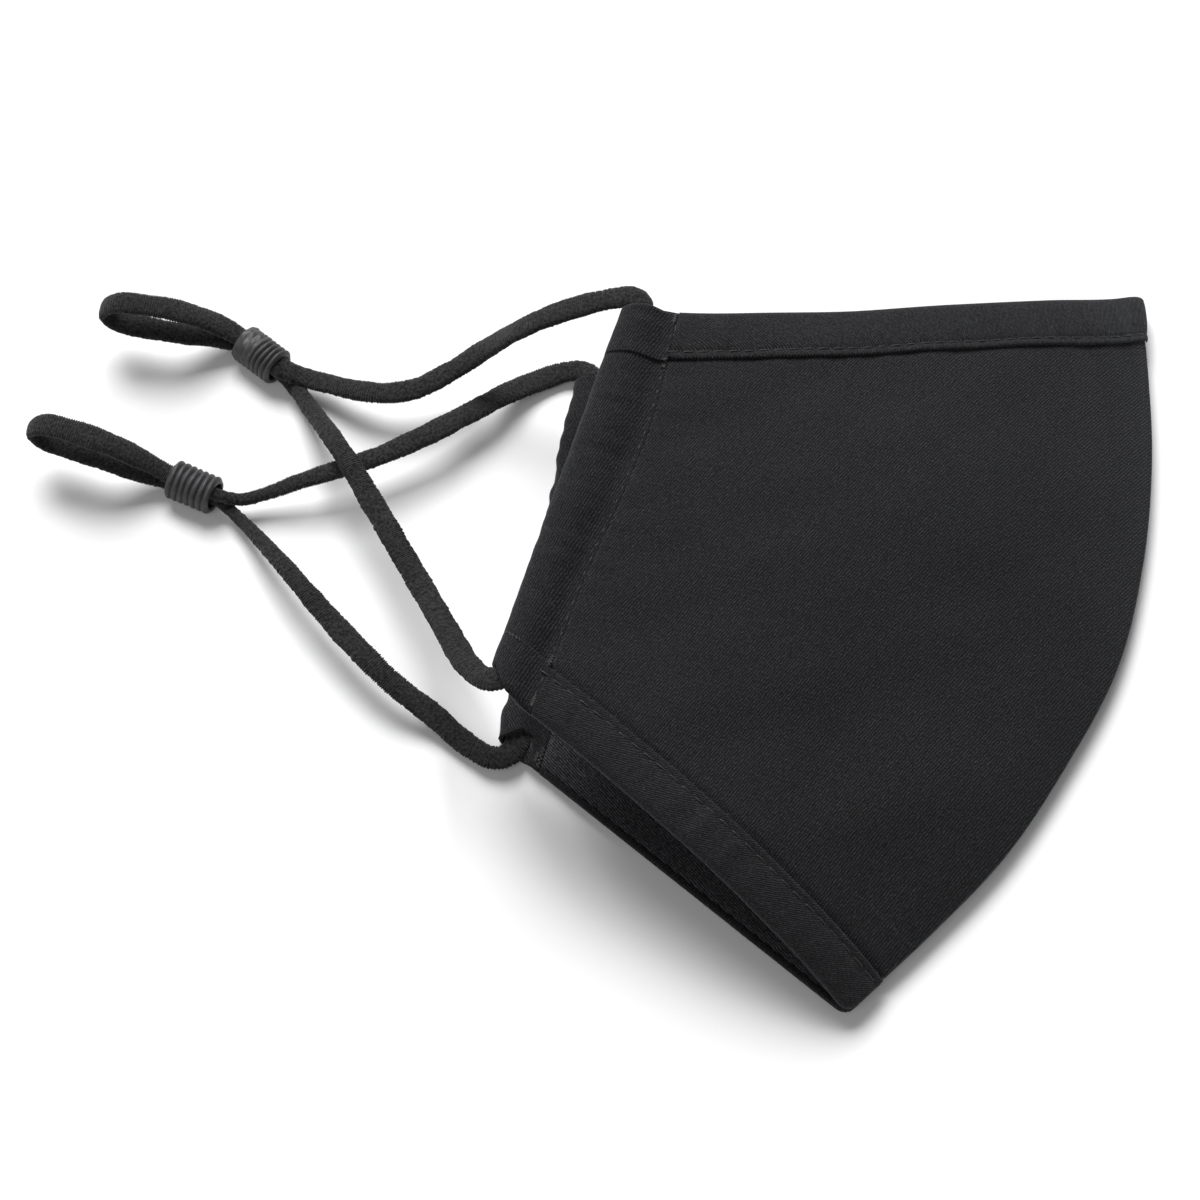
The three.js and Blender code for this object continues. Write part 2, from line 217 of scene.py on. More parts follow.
# Waves of a cord's width and of how strongly its ribs show, over metres of cord
WIDTH_WAVES = (Ripple(1 / (3.7 * MM), 0.03), Ripple(1 / (1.3 * MM), 0.025, start=1))
RIB_FADE = Ripple(1 / (5.1 * MM), 0.45, 2, 1 / (17 * MM))
# How far each casing's chin mouth is cut back: from the ear edge inwards, in metres
NEAR_MOUTH = Profile((0, 2.1 * MM, 4.2 * MM, 10.2 * MM), (3.6 * MM, 1.8 * MM, 0, 0))
FAR_MOUTH = Profile(
    (0, 2 * MM, 5 * MM, 7.4 * MM, 8.6 * MM, 10.2 * MM),
    (0.2 * MM, 1.5 * MM, 4.2 * MM, 4.6 * MM, 1.2 * MM, 0),
)
# Cloth colours: the top hem is a little paler than the panel, partly its own tone and partly painted light;
# the far panel's paler colour is painted light, so that its shaded inside doesn't turn to plain black
BLACK_CLOTH = (0.0135, 0.0135, 0.0152)
TOP_HEM_PARTLY_PAINTED_LIGHT_CLOTH = (0.0155, 0.0155, 0.017)
FAR_PANEL_PAINTED_LIGHT_CLOTH = (0.04, 0.04, 0.044)
# Small waves of the sewn cloth, over shares of the edge that they run along
EAR_GATHERS = (Ripple(95, 0.1 * MM, 2, 17),)
TOP_GATHERS = (Ripple(70, 0.09 * MM, 3, 11),)
HEM_WAVES = (Ripple(58, 0.16 * MM, 2.4, 13, sway_start=1), Ripple(127, 0.07 * MM, 1.7, 31))
CASING_GATHERS = (Ripple(83, 0.08 * MM, 2.2, 19), Ripple(151, 0.05 * MM, start=1.3))
# Waves of the ear edge's outline, as shares of its wobble: the first swells and fades with the second
EAR_BENDS = (Ripple(43, 1, 2.6, 19), Ripple(9, 1, start=0.6))
EAR_NICKS = Ripple(117, 0.25, start=2)
# Dents of the near half's dome: a negative depth is a swell
DENTS = (
    Dent(0.22, 0.42, 0.13, 1),
    Dent(0.42, 0.2, 0.12, 0.8),
    Dent(0.72, 0.3, 0.12, 0.7),
    Dent(0.45, 0.62, 0.16, -0.8),
    Dent(0.2, 0.16, 0.1, -0.5),
)
# Faint ripples of pressed cloth: depth, then two crossed waves as turns across, turns along and start
PRESSED_WAVES = ((1.0, (23, 9, 1.1), (-8, 17, 0.4)), (0.6, (13, 41, 0), (19, 0, 2.2)))


@dataclass(frozen=True)
class MaskSizes:
    """Sizes of the mask's body and of the sewing on it."""

    width: float = 128 * MM
    length: float = 151 * MM
    opening_lift: float = 34 * MM
    chin_lift: float = 30 * MM
    crown_rise: float = 3 * MM
    dent_depth: float = 1.6 * MM
    panel_wall: float = 1.5 * MM
    hem_wall: float = 1 * MM
    top_hem: float = 10.8 * MM
    chin_hem: float = 9 * MM
    clearance: float = 0.3 * MM
    casing_width: float = 10.2 * MM
    casing_wall: float = 1 * MM
    cord_width: float = 4.6 * MM
    cord_thickness: float = 2.2 * MM
    cord_play: float = 0.45 * MM
    sag_width: float = 14 * MM
    nose: tuple[float, float] = (0.487, 0.496)
    chin: tuple[float, float] = (-0.009, -0.498)

    def hem_width(self, edge: Edge) -> float:
        """Width of the hem on one edge."""
        return self.top_hem if edge is Edge.TOP else self.chin_hem

    @property
    def band_stand(self) -> float:
        """How far a hem stands out from the panel's outer face in the plain model."""
        return self.clearance + self.hem_wall


# The surface of each half


@dataclass
class Half:
    """One half of the folded body, as a surface that cloth is laid on.

    Across runs from the centre seam (0) to the ear edge (1), along from the chin (0) to the top (1).
    """

    sizes: MaskSizes
    side: Side
    ear_top: tuple[float, float]
    ear_chin: tuple[float, float]
    outward: float

    def plan(self, across: Array, along: Array) -> Array:
        """Place in plan.

        Args:
            across: Shares from the seam to the ear edge.
            along: Shares from the chin to the top.

        Returns:
            X and Y of each place, in metres.
        """
        scale = np.array([self.sizes.width, self.sizes.length])
        across, along = one_shape(across, along)
        a = across[..., None]
        b = along[..., None]
        seam = (np.array(self.sizes.chin) * (1 - b) + np.array(self.sizes.nose) * b) * scale
        ear = (np.array(self.ear_chin) * (1 - b) + np.array(self.ear_top) * b) * scale
        point = seam * (1 - a) + ear * a
        point[..., 0] += (1 - across) * self.sizes.width * SEAM_BULGE.read(along)
        point[..., 1] -= along * self.sizes.length * TOP_DIP.read(across)
        return point

    def side_length(self, along: Array) -> Array:
        """Straight length from the seam to the ear edge at each share along."""
        return np.linalg.norm(self.plan(0 * along, along) - self.plan(0 * along + 1, along), axis=-1)

    def edge_rate(self, across: Array, edge: float) -> Array:
        """Metres that a whole share along would be beside one edge.

        Args:
            across: Shares from the seam to the ear edge.
            edge: 0 for the chin edge or 1 for the top edge.

        Returns:
            The length at each share across.
        """
        reach = 0.06
        start = self.plan(across, 0 * across + edge)
        end = self.plan(across, 0 * across + abs(edge - reach))
        return np.linalg.norm(start - end, axis=-1) / reach

    def from_ear(self, distance: Array, along: Array) -> Array:
        """Share across at a distance from the ear edge."""
        return 1 - distance / self.side_length(along)

    def from_edge(self, edge: Edge, distance: Array, across: Array) -> Array:
        """Share along at a distance from one edge.

        Args:
            edge: The top or the chin edge.
            distance: Distance from it, in metres.
            across: Shares from the seam to the ear edge.

        Returns:
            The share at each place.
        """
        if edge is Edge.TOP:
            return 1 - distance / self.edge_rate(across, 1)
        return distance / self.edge_rate(across, 0)

    def inside_hem(self, edge: Edge, across: Array, along: Array) -> Array:
        """Distance inside a hem's inner edge."""
        share = 1 - along if edge is Edge.TOP else along
        return share * self.edge_rate(across, float(edge is Edge.TOP)) - self.sizes.hem_width(edge)

    def height(self, across: Array, along: Array) -> Array:
        """Height of the middle of the wall above the surface that the mask lies on."""
        raise NotImplementedError

    def middle(self, across: Array, along: Array) -> Array:
        """Middle of the wall, in metres."""
        plan = self.plan(across, along)
        return np.concatenate([plan, self.height(across, along)[..., None]], axis=-1)

    def at(self, across: Array, along: Array, out: Array) -> Array:
        """Place that lies out from the middle of the wall.

        Args:
            across: Shares from the seam to the ear edge.
            along: Shares from the chin to the top.
            out: Distance outside the middle of the wall, in metres.

        Returns:
            The places, in metres.
        """
        across, along, out = one_shape(across, along, out)
        nudge = 1e-3
        a = np.clip(across, nudge, 1 - nudge)
        b = np.clip(along, nudge, 1 - nudge)
        over = self.middle(a + nudge, b) - self.middle(a - nudge, b)
        up = self.middle(a, b + nudge) - self.middle(a, b - nudge)
        return self.middle(across, along) + unit(np.cross(up, over)) * (self.outward * out)[..., None]

    def seam_curl(self, across: Array, along: Array) -> Array:
        """How far the cloth turns towards the other half beside the sewn seam.

        Args:
            across: Shares from the seam to the ear edge.
            along: Shares from the chin to the top.

        Returns:
            The distance at each place, in metres.
        """
        reach = 1.4 * MM
        depth = 0.26 * MM
        return depth * bell(np.maximum(across, 0) * self.side_length(along), reach)


@dataclass
class NearHalf(Half):
    """The upper half, sprung open as a dome with soft dents."""

    ripple: float = 0.22 * MM

    def height(self, across: Array, along: Array) -> Array:
        """Height of the dome, with its crown, dents and the faint ripples of pressed cloth.

        Args:
            across: Shares from the seam to the ear edge.
            along: Shares from the chin to the top.

        Returns:
            Heights of the middle of the wall, in metres.
        """
        size = self.sizes
        across, along = one_shape(across, along)
        seam = size.panel_wall * 1.5 + size.band_stand + 2 * size.clearance
        lift = size.chin_lift * (1 - along) + size.opening_lift * along - seam
        inner = np.sin(math.pi * across) * np.sin(math.pi * along)
        swell = size.crown_rise * inner
        for dent in DENTS:
            distance = np.hypot(across - dent.across, along - dent.along)
            swell -= size.dent_depth * dent.depth * bell(distance, dent.reach) * np.minimum(1, 4 * inner)
        waves = 0 * across
        for depth, *crossed in PRESSED_WAVES:
            first, second = (np.sin(x * across + y * along + start) for x, y, start in crossed)
            waves += depth * first * second
        swell += self.ripple * waves * np.minimum(1, 5 * np.abs(inner))
        return seam + lift * ARCH_RISE.read(across) + swell - self.seam_curl(across, along)


@dataclass
class FarHalf(Half):
    """The lower half, whose middle sags flat onto the surface while its edges stand on their hems."""

    def height(self, across: Array, along: Array) -> Array:
        """Height of the flat half, raised at the hems, the casing and the seam.

        Args:
            across: Shares from the seam to the ear edge.
            along: Shares from the chin to the top.

        Returns:
            Heights of the middle of the wall, in metres.
        """
        size = self.sizes
        across, along = one_shape(across, along)
        low = size.panel_wall / 2
        high = low + size.band_stand
        from_ear = (1 - across) * self.side_length(along) - size.casing_width
        from_seam = across * self.side_length(along)
        from_hems = [self.inside_hem(edge, across, along) for edge in Edge]
        sag = ease(np.min([*from_hems, from_ear, from_seam], axis=0), 0, size.sag_width)
        return high + (low - high) * sag + self.seam_curl(across, along)


# Meshes


def new_mesh(name: str, points: Array, faces: Sequence[Sequence[int]]) -> Piece:
    """Makes a smooth-shaded mesh object and links it to the scene.

    Args:
        name: The piece's name.
        points: Vertices, in metres.
        faces: Vertex numbers of each face.

    Returns:
        The new object.
    """
    mesh = bpy.data.meshes.new(name)
    mesh.from_pydata(points.reshape(-1, 3).tolist(), [], faces)
    mesh.validate()
    mesh.update()
    mesh.shade_smooth()
    piece = bpy.data.objects.new(name, mesh)
    bpy.context.scene.collection.objects.link(piece)
    return piece


def ring_faces(rings: int, sides: int, start: int = 0, flip: bool = False) -> list[list[int]]:
    """Faces of a tube of rings.

    Args:
        rings: How many rings there are.
        sides: Points in each ring.
        start: Number of the first point.
        flip: Turns the faces over.

    Returns:
        One quad for each side between each pair of rings.
    """
    i = np.arange(rings - 1)[:, None] * sides + start
    k = np.arange(sides)[None, :]
    n = (k + 1) % sides
    quads = np.stack([i + k, i + n, i + sides + n, i + sides + k], axis=-1).reshape(-1, 4)
    return quads[:, ::-1].tolist() if flip else quads.tolist()


def turned_out(points: Array, faces: list[list[int]]) -> list[list[int]]:
    """Turns the faces of a closed body outwards.

    Args:
        points: Vertices of the body.
        faces: Its faces, all the same way round.

    Returns:
        The faces, turned over if they faced inwards.
    """
    flat = points.reshape(-1, 3)
    flat = flat - flat.mean(axis=0)
    volume = 0.0
    for face in faces:
        first = flat[face[0]]
        for j in range(1, len(face) - 1):
            volume += float(np.dot(first, np.cross(flat[face[j]], flat[face[j + 1]])))
    return [face[::-1] for face in faces] if volume < 0 else faces


def rounded_rim(rows: Array, degrees: Sequence[float]) -> tuple[Array, Array, Array]:
    """Adds rows that round off the first end of a strip.

    Args:
        rows: Shares along the strip, from its first end.
        degrees: How far round the rim each added row lies, from its tip inwards.

    Returns:
        The shares with 0 for each added row, how far each row lies beyond the end, and its thickness,
        both as shares of the rim's reach.
    """
    turns = np.radians(degrees)
    plain = np.ones(len(rows))
    parts = ((0 * turns, rows), (np.sin(turns), 0 * plain), (np.cos(turns), plain))
    row, beyond, thick = (np.concatenate(part)[:, None] for part in parts)
    return row, beyond, thick


def strip_body(name: str, rings: Array) -> Piece:
    """Closed body through rings that each go out along one face of a wall and back along the other.

    Args:
        name: The piece's name.
        rings: Rings of points, as an array of rings, points and coordinates.

    Returns:
        The new piece.
    """
    count, sides = rings.shape[:2]
    faces = ring_faces(count, sides)
    last = (count - 1) * sides
    for i in range(sides // 2 - 1):
        back = sides - 1 - i
        faces.append([i + 1, i, back, back - 1])
        faces.append([last + i, last + i + 1, last + back - 1, last + back])
    return new_mesh(name, rings, turned_out(rings, faces))


def sleeve_body(name: str, outer: Array, inner: Array) -> Piece:
    """Open sleeve between an outer and an inner wall.

    Args:
        name: The piece's name.
        outer: Rings of the outer wall.
        inner: Rings of the inner wall, with as many points in each.

    Returns:
        The new piece.
    """
    count, sides = outer.shape[:2]
    start = count * sides
    faces = ring_faces(count, sides) + ring_faces(count, sides, start, flip=True)
    last = (count - 1) * sides
    for k in range(sides):
        n = (k + 1) % sides
        faces.append([n, k, start + k, start + n])
        faces.append([last + k, last + n, start + last + n, start + last + k])
    points = np.concatenate([outer.reshape(-1, 3), inner.reshape(-1, 3)])
    return new_mesh(name, points, turned_out(points, faces))


def thread_tube(paths: Sequence[Array], radius: float, sides: int) -> tuple[Array, list[list[int]]]:
    """Thin closed tubes along short paths.

    Args:
        paths: The points that each tube follows.
        radius: Radius of the thread.
        sides: Sides of its section.

    Returns:
        Vertices and faces of all the tubes together.
    """
    points: list[Array] = []
    faces: list[list[int]] = []
    start = 0
    end_thickness = 0.35
    angle = math.tau * np.arange(sides) / sides
    cos, sin = np.cos(angle)[None, :, None], np.sin(angle)[None, :, None]
    for path in paths:
        tangent = unit(np.gradient(path, axis=0))
        level = np.cross(np.array([0.0, 0.0, 1.0]), tangent)
        level /= np.linalg.norm(level, axis=1, keepdims=True) + 1e-12
        rise = np.cross(tangent, level)
        count = len(path)
        thin = np.ones(count)
        thin[[0, -1]] = end_thickness
        tube = path[:, None] + (cos * level[:, None] + sin * rise[:, None]) * (radius * thin)[:, None, None]
        points.append(tube.reshape(-1, 3))
        faces += ring_faces(count, sides, start)
        faces.append([start + k for k in reversed(range(sides))])
        faces.append([start + (count - 1) * sides + k for k in range(sides)])
        start += count * sides
    return np.concatenate(points), faces


def smooth_path(route: Route, step: float) -> Array:
    """Even points along a smooth curve through a route.

    Args:
        route: Given points, in metres.
        step: Distance between the points wanted.

    Returns:
        Points a step apart along a centripetal curve through the route.
    """
    knots = np.array(route)
    knots = np.vstack([2 * knots[0] - knots[1], knots, 2 * knots[-1] - knots[-2]])
    fine: list[Array] = []
    steps_per_knot = 40
    shares = np.linspace(0, 1, steps_per_knot, endpoint=False)[:, None]
    for p0, p1, p2, p3 in zip(knots, knots[1:], knots[2:], knots[3:]):
        d0, d1, d2 = (float(np.linalg.norm(b - a)) ** 0.5 for a, b in ((p0, p1), (p1, p2), (p2, p3)))
        start = ((p1 - p0) / d0 - (p2 - p0) / (d0 + d1) + (p2 - p1) / d1) * d1
        end = ((p2 - p1) / d1 - (p3 - p1) / (d1 + d2) + (p3 - p2) / d2) * d1
        square = -3 * p1 + 3 * p2 - 2 * start - end
        cube = 2 * p1 - 2 * p2 + start + end
        fine.append(p1 + start * shares + square * shares**2 + cube * shares**3)
    line = np.vstack([*fine, knots[-2]])
    travelled = np.concatenate([[0], np.cumsum(np.linalg.norm(np.diff(line, axis=0), axis=1))])
    places = np.linspace(0, travelled[-1], max(2, round(travelled[-1] / step) + 1))
    return np.stack([np.interp(places, travelled, line[:, axis]) for axis in range(3)], axis=1)


def finish_piece(piece: Piece, material: Material, slot: Slot, *nodes: str) -> None:
    """Gives a piece its material and body, and hides the plain nodes that it stands for.

    Args:
        piece: The new piece.
        material: Its material.
        slot: The record's material slot; not used.
        nodes: The plain nodes that it replaces.
    """
    piece.data.materials.clear()
    piece.data.materials.append(material)
    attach(piece, BODY)
    if nodes:
        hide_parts(*nodes)
    log.info("%s: %d faces, %s", piece.name, len(piece.data.polygons), material.name)


# Shader nodes


@dataclass
class Shading:
    """Adds nodes to one tree and links them."""

    tree: Tree

    def add(self, kind: str, **values: Any) -> Node:
        """Adds a node.

        Args:
            kind: The node's type.
            values: Settings of the node.

        Returns:
            The new node.
        """
        node = self.tree.nodes.new(kind)
        for key, value in values.items():
            setattr(node, key, value)
        return node

    def feed(self, socket: Socket, value: Any) -> None:
        """Links an output to a socket, or sets the socket's own value.

        Args:
            socket: The input socket.
            value: An output socket or a plain value.
        """
        if isinstance(value, Socket):
            self.tree.links.new(value, socket)
        else:
            socket.default_value = value

    def put(self, node: Node, **values: Any) -> Node:
        """Sets or links sockets of a node.

        Args:
            node: The node.
            values: A value or an output socket for each input, with spaces in its name as underscores.

        Returns:
            The same node.
        """
        for key, value in values.items():
            self.feed(node.inputs[key.replace("_", " ")], value)
        return node

    def math(self, operation: str, *values: Any) -> Socket:
        """Adds a Math node.

        Args:
            operation: What the node works out.
            values: Its inputs in order.

        Returns:
            Its output.
        """
        node = self.add("ShaderNodeMath", operation=operation)
        for socket, value in zip(node.inputs, values):
            self.feed(socket, value)
        return node.outputs[0]

    def times(self, first: Any, second: Any) -> Socket:
        """Multiplies two values."""
        return self.math("MULTIPLY", first, second)

    def noise(self, vector: Socket, scale: Any, detail: float = 2.0) -> Socket:
        """Adds a Noise texture and returns its factor."""
        node = self.put(self.add("ShaderNodeTexNoise"), Vector=vector, Scale=scale, Detail=detail)
        return node.outputs[0]

    def remap(self, value: Socket, low: float, high: float, to: tuple[float, float]) -> Any:
        """Adds a clamped Map Range node.

        Args:
            value: The value to map.
            low: Where its range starts.
            high: Where its range ends.
            to: The range that it is mapped to.

        Returns:
            The mapped value.
        """
        node = self.add("ShaderNodeMapRange")
        self.put(node, Value=value, From_Min=low, From_Max=high, To_Min=to[0], To_Max=to[1])
        return node.outputs[0]

    def blend(self, share: Any, first: Any, second: Any) -> Socket:
        """Adds a colour Mix node.

        Args:
            share: How much of the second colour shows.
            first: The first colour.
            second: The second colour.

        Returns:
            The mixed colour.
        """
        node = self.add("ShaderNodeMix", data_type="RGBA")
        share_socket, first_socket, second_socket = (node.inputs[i] for i in (0, 6, 7))
        self.feed(share_socket, share)
        self.feed(first_socket, first)
        self.feed(second_socket, second)
        return node.outputs[2]

    def effect(self, group: Tree, **values: Any) -> Node:
        """Places a shared effect with its own values."""
        return self.put(self.add("ShaderNodeGroup", node_tree=group), **values)

    def bump(self, height: Any, distance: float, strength: float = 1.0) -> Socket:
        """Turns a height into a bumped normal."""
        node = self.put(self.add("ShaderNodeBump"), Strength=strength, Distance=distance, Height=height)
        return node.outputs[0]

    def toned(self, colour: Sequence[float], factor: Any) -> Socket:
        """Multiplies a colour by a factor that changes over the surface.

        Args:
            colour: The plain colour.
            factor: The factor's output.

        Returns:
            The colour's output.
        """
        node = self.add("ShaderNodeVectorMath", operation="SCALE")
        self.feed(node.inputs[0], colour)
        self.feed(node.inputs["Scale"], factor)
        return node.outputs[0]


def new_group(name: str, inputs: dict[str, float], outputs: Sequence[str]) -> tuple[Shading, Any, Any]:
    """Starts a shader node group with a place and named numbers going in.

    Args:
        name: The group's name.
        inputs: Number inputs and their usual values.
        outputs: Number outputs.

    Returns:
        The group's shading, its input node and its output node.
    """
    tree = bpy.data.node_groups.new(name, "ShaderNodeTree")
    tree.interface.new_socket("Place", in_out="INPUT", socket_type="NodeSocketVector")
    for key, value in inputs.items():
        socket = tree.interface.new_socket(key, in_out="INPUT", socket_type="NodeSocketFloat")
        socket.default_value = value
    for key in outputs:
        tree.interface.new_socket(key, in_out="OUTPUT", socket_type="NodeSocketFloat")
    shading = Shading(tree)
    return shading, shading.add("NodeGroupInput"), shading.add("NodeGroupOutput")


def twill_group() -> Tree:
    """Fine diagonal weave: lines of short floats that wander a little.

    Returns:
        A group with the weave's height and the painted light and shade of its ridges and grooves.
    """
    shading, given, out = new_group(
        "Twill weave", {"Turn": 0.9, "Pitch": 0.46 * MM, "Wander": 0.2}, ["Height", "Threads"]
    )
    place, pitch = given.outputs["Place"], given.outputs["Pitch"]
    turned = shading.add("ShaderNodeVectorRotate", rotation_type="Z_AXIS")
    shading.put(turned, Vector=place, Angle=given.outputs["Turn"])
    split = shading.put(shading.add("ShaderNodeSeparateXYZ"), Vector=turned.outputs[0])
    drift = shading.math("SUBTRACT", shading.noise(place, 1300.0, 3.0), 0.5)
    shift = shading.times(drift, given.outputs["Wander"])
    across = shading.math("DIVIDE", split.outputs["Y"], pitch)
    phase = shading.times(shading.math("MULTIPLY_ADD", shift, 6.0, across), math.tau)
    line = shading.math("MULTIPLY_ADD", shading.math("SINE", phase), 0.5, 0.5)
    along = shading.math("DIVIDE", split.outputs["X"], pitch)
    floats = shading.times(shading.math("MULTIPLY_ADD", across, 0.5, along), math.pi)
    knuckle = shading.math("MULTIPLY_ADD", shading.math("SINE", floats), 0.25, 0.75)
    height = shading.times(line, knuckle)
    uneven = shading.remap(shading.noise(place, 2300.0, 3.0), 0.32, 0.68, (0.18, 1.0))
    shading.put(out, Height=shading.times(height, uneven))
    # Painted light and shade of the weave: lighter on its ridges, darker in its grooves
    shading.put(out, Threads=shading.times(line, uneven))
    return shading.tree


def lint_group() -> Tree:
    """Loose fibre ends and lint that catch the light as small pale specks.

    Returns:
        A group with a mask of the specks.
    """
    shading, given, out = new_group("Lint", {"Amount": 0.5, "Fineness": 1600.0}, ["Mask"])
    speck = shading.noise(given.outputs["Place"], given.outputs["Fineness"], 1.0)
    patch = shading.noise(given.outputs["Place"], 90.0, 2.0)
    bright = shading.remap(speck, 0.62, 0.8, (0.0, 1.0))
    share = shading.times(bright, shading.remap(patch, 0.35, 0.65, (0.3, 1.0)))
    shading.put(out, Mask=shading.times(share, given.outputs["Amount"]))
    return shading.tree


def tone_group() -> Tree:
    """Soft uneven dye and wear over centimetres.

    Returns:
        A group with a factor about 1 that the colour is multiplied by.
    """
    shading, given, out = new_group("Soft tone", {"Scale": 22.0, "Depth": 0.2}, ["Factor"])
    wide = shading.noise(given.outputs["Place"], given.outputs["Scale"], 3.0)
    swing = shading.times(shading.math("SUBTRACT", wide, 0.5), given.outputs["Depth"])
    shading.put(out, Factor=shading.math("MULTIPLY_ADD", swing, 2.0, 1.0))
    return shading.tree


@dataclass
class SharedEffects:
    """The node groups that several finishes use."""

    twill: Tree = field(default_factory=twill_group)
    lint: Tree = field(default_factory=lint_group)
    tone: Tree = field(default_factory=tone_group)


def start_material(name: str) -> tuple[Material, Shading, Node, Socket]:
    """Starts a material with its shader.

    Args:
        name: The material's name.

    Returns:
        The material, its shading, its Principled shader and the place on the piece.
    """
    material = bpy.data.materials.new(name)
    material.use_nodes = True
    material.node_tree.nodes.clear()
    shading = Shading(material.node_tree)
    shader = shading.add("ShaderNodeBsdfPrincipled")
    shading.put(shading.add("ShaderNodeOutputMaterial"), Surface=shader.outputs[0])
    place = shading.add("ShaderNodeTexCoord").outputs["Object"]
    return material, shading, shader, place


def fibre_ends(colour: Sequence[float]) -> list[float]:
    """Pale colour of the loose fibres on a dark cloth."""
    return [4.0 * part for part in colour] + [1.0]


@dataclass(frozen=True)
class TwillFinish:
    """Matt black fine cotton twill."""

    name: str
    turn: float
    colour: Colour = BLACK_CLOTH
    pitch: float = 0.46 * MM
    relief: float = 0.11 * MM
    lint: float = 0.34
    sheen: float = 0.1
    sheen_tint: tuple[float, float, float, float] = (0.75, 0.78, 0.85, 1.0)
    wrap: tuple[float, float] = (0, 0)

    def wrapped(self, shading: Shading, place: Socket) -> Socket:
        """Place on the cloth that runs on round a folded edge instead of stretching down it.

        Args:
            shading: The material's shading.
            place: The place on the piece.

        Returns:
            The place, moved level with its height.
        """
        split = shading.put(shading.add("ShaderNodeSeparateXYZ"), Vector=place)
        level = [
            shading.math("MULTIPLY_ADD", split.outputs["Z"], share, split.outputs[axis])
            for share, axis in zip(self.wrap, "XY")
        ]
        joined = shading.add("ShaderNodeCombineXYZ")
        return shading.put(joined, X=level[0], Y=level[1], Z=split.outputs["Z"]).outputs[0]

    def build(self, effects: SharedEffects) -> Material:
        """Builds the material.

        Args:
            effects: The shared node groups.

        Returns:
            The material.
        """
        material, shading, shader, place = start_material(self.name)
        cloth_place = self.wrapped(shading, place) if any(self.wrap) else place
        weave = shading.effect(effects.twill, Place=cloth_place, Turn=self.turn, Pitch=self.pitch)
        lint = shading.effect(effects.lint, Place=place, Amount=self.lint)
        tone = shading.effect(effects.tone, Place=place, Depth=0.24)
        # Painted light and shade: the colour is lighter on the weave's ridges and darker in its grooves
        ridge_shading = shading.remap(weave.outputs["Threads"], 0.0, 1.0, (0.08, 2.65))
        factor = shading.times(ridge_shading, tone.outputs["Factor"])
        cloth = shading.toned(self.colour, factor)
        shading.put(shader, Base_Color=shading.blend(lint.outputs["Mask"], cloth, fibre_ends(self.colour)))
        fuzz = shading.noise(place, 3200.0, 2.0)
        height = shading.math("MULTIPLY_ADD", fuzz, 0.6, weave.outputs["Height"])
        shading.put(shader, Normal=shading.bump(height, self.relief), Roughness=0.92)
        shading.put(shader, Sheen_Weight=self.sheen, Sheen_Roughness=0.45, Sheen_Tint=self.sheen_tint)
        shading.put(shader, Specular_IOR_Level=0.25)
        return material


@dataclass(frozen=True)
class KnitFinish:
    """Matt black knitted elastic, whose ribs are in its mesh."""

    name: str = "knitted elastic"
    colour: Colour = (0.0125, 0.0125, 0.0132)

    def build(self, effects: SharedEffects) -> Material:
        """Builds the material.

        Args:
            effects: The shared node groups.

        Returns:
            The material.
        """
        material, shading, shader, place = start_material(self.name)
        lint = shading.effect(effects.lint, Place=place, Amount=0.75, Fineness=2600.0)
        tone = shading.effect(effects.tone, Place=place, Scale=70.0, Depth=0.22)
        loops = shading.noise(place, 1900.0, 3.0)
        # Painted light and shade: the same noise as the bump makes raised loops lighter and hollows darker
        stitch = shading.remap(loops, 0.32, 0.68, (0.15, 2.5))
        factor = shading.times(stitch, tone.outputs["Factor"])
        knit = shading.toned(self.colour, factor)
        shading.put(shader, Base_Color=shading.blend(lint.outputs["Mask"], knit, fibre_ends(self.colour)))
        shading.put(shader, Normal=shading.bump(loops, 0.2 * MM), Roughness=0.95)
        shading.put(shader, Sheen_Weight=0.14, Sheen_Roughness=0.5, Specular_IOR_Level=0.2)
        return material


@dataclass(frozen=True)
class RubberFinish:
    """Satin dark grey rubber with bloom and handling marks."""

    name: str = "bead rubber"
    colour: Colour = (0.042, 0.042, 0.0445)
    bloom: tuple[float, float, float, float] = (0.12, 0.12, 0.125, 1.0)

    def build(self, effects: SharedEffects) -> Material:
        """Builds the material.

        Args:
            effects: The shared node groups.

        Returns:
            The material.
        """
        material, shading, shader, place = start_material(self.name)
        lint = shading.effect(effects.lint, Place=place, Amount=0.4, Fineness=1500.0)
        tone = shading.effect(effects.tone, Place=place, Scale=420.0, Depth=0.35)
        rubber = shading.toned(self.colour, tone.outputs["Factor"])
        shading.put(shader, Base_Color=shading.blend(lint.outputs["Mask"], rubber, self.bloom))
        skin = shading.noise(place, 1300.0, 4.0)
        rough = shading.remap(skin, 0.3, 0.7, (0.46, 0.66))
        shading.put(shader, Normal=shading.bump(skin, 0.12 * MM, 0.6), Roughness=rough)
        shading.put(shader, Specular_IOR_Level=0.5)
        return material


@dataclass(frozen=True)
class ThreadFinish:
    """Black spun sewing thread, a little glossier than the cloth."""

    name: str = "sewing thread"
    colour: Colour = (0.0145, 0.0145, 0.016)

    def build(self, effects: SharedEffects) -> Material:
        """Builds the material.

        Args:
            effects: The shared node groups.

        Returns:
            The material.
        """
        material, shading, shader, place = start_material(self.name)
        twist = shading.effect(effects.twill, Place=place, Turn=0.6, Pitch=0.16 * MM, Wander=0.1)
        # Painted light and shade: the thread is lighter on its twist's ridges and darker between them
        twist_shading = shading.remap(twist.outputs["Threads"], 0.0, 1.0, (0.7, 1.25))
        normal = shading.bump(twist.outputs["Height"], 0.04 * MM)
        shading.put(shader, Base_Color=shading.toned(self.colour, twist_shading), Normal=normal)
        shading.put(shader, Roughness=0.6, Sheen_Weight=0.1)
        return material


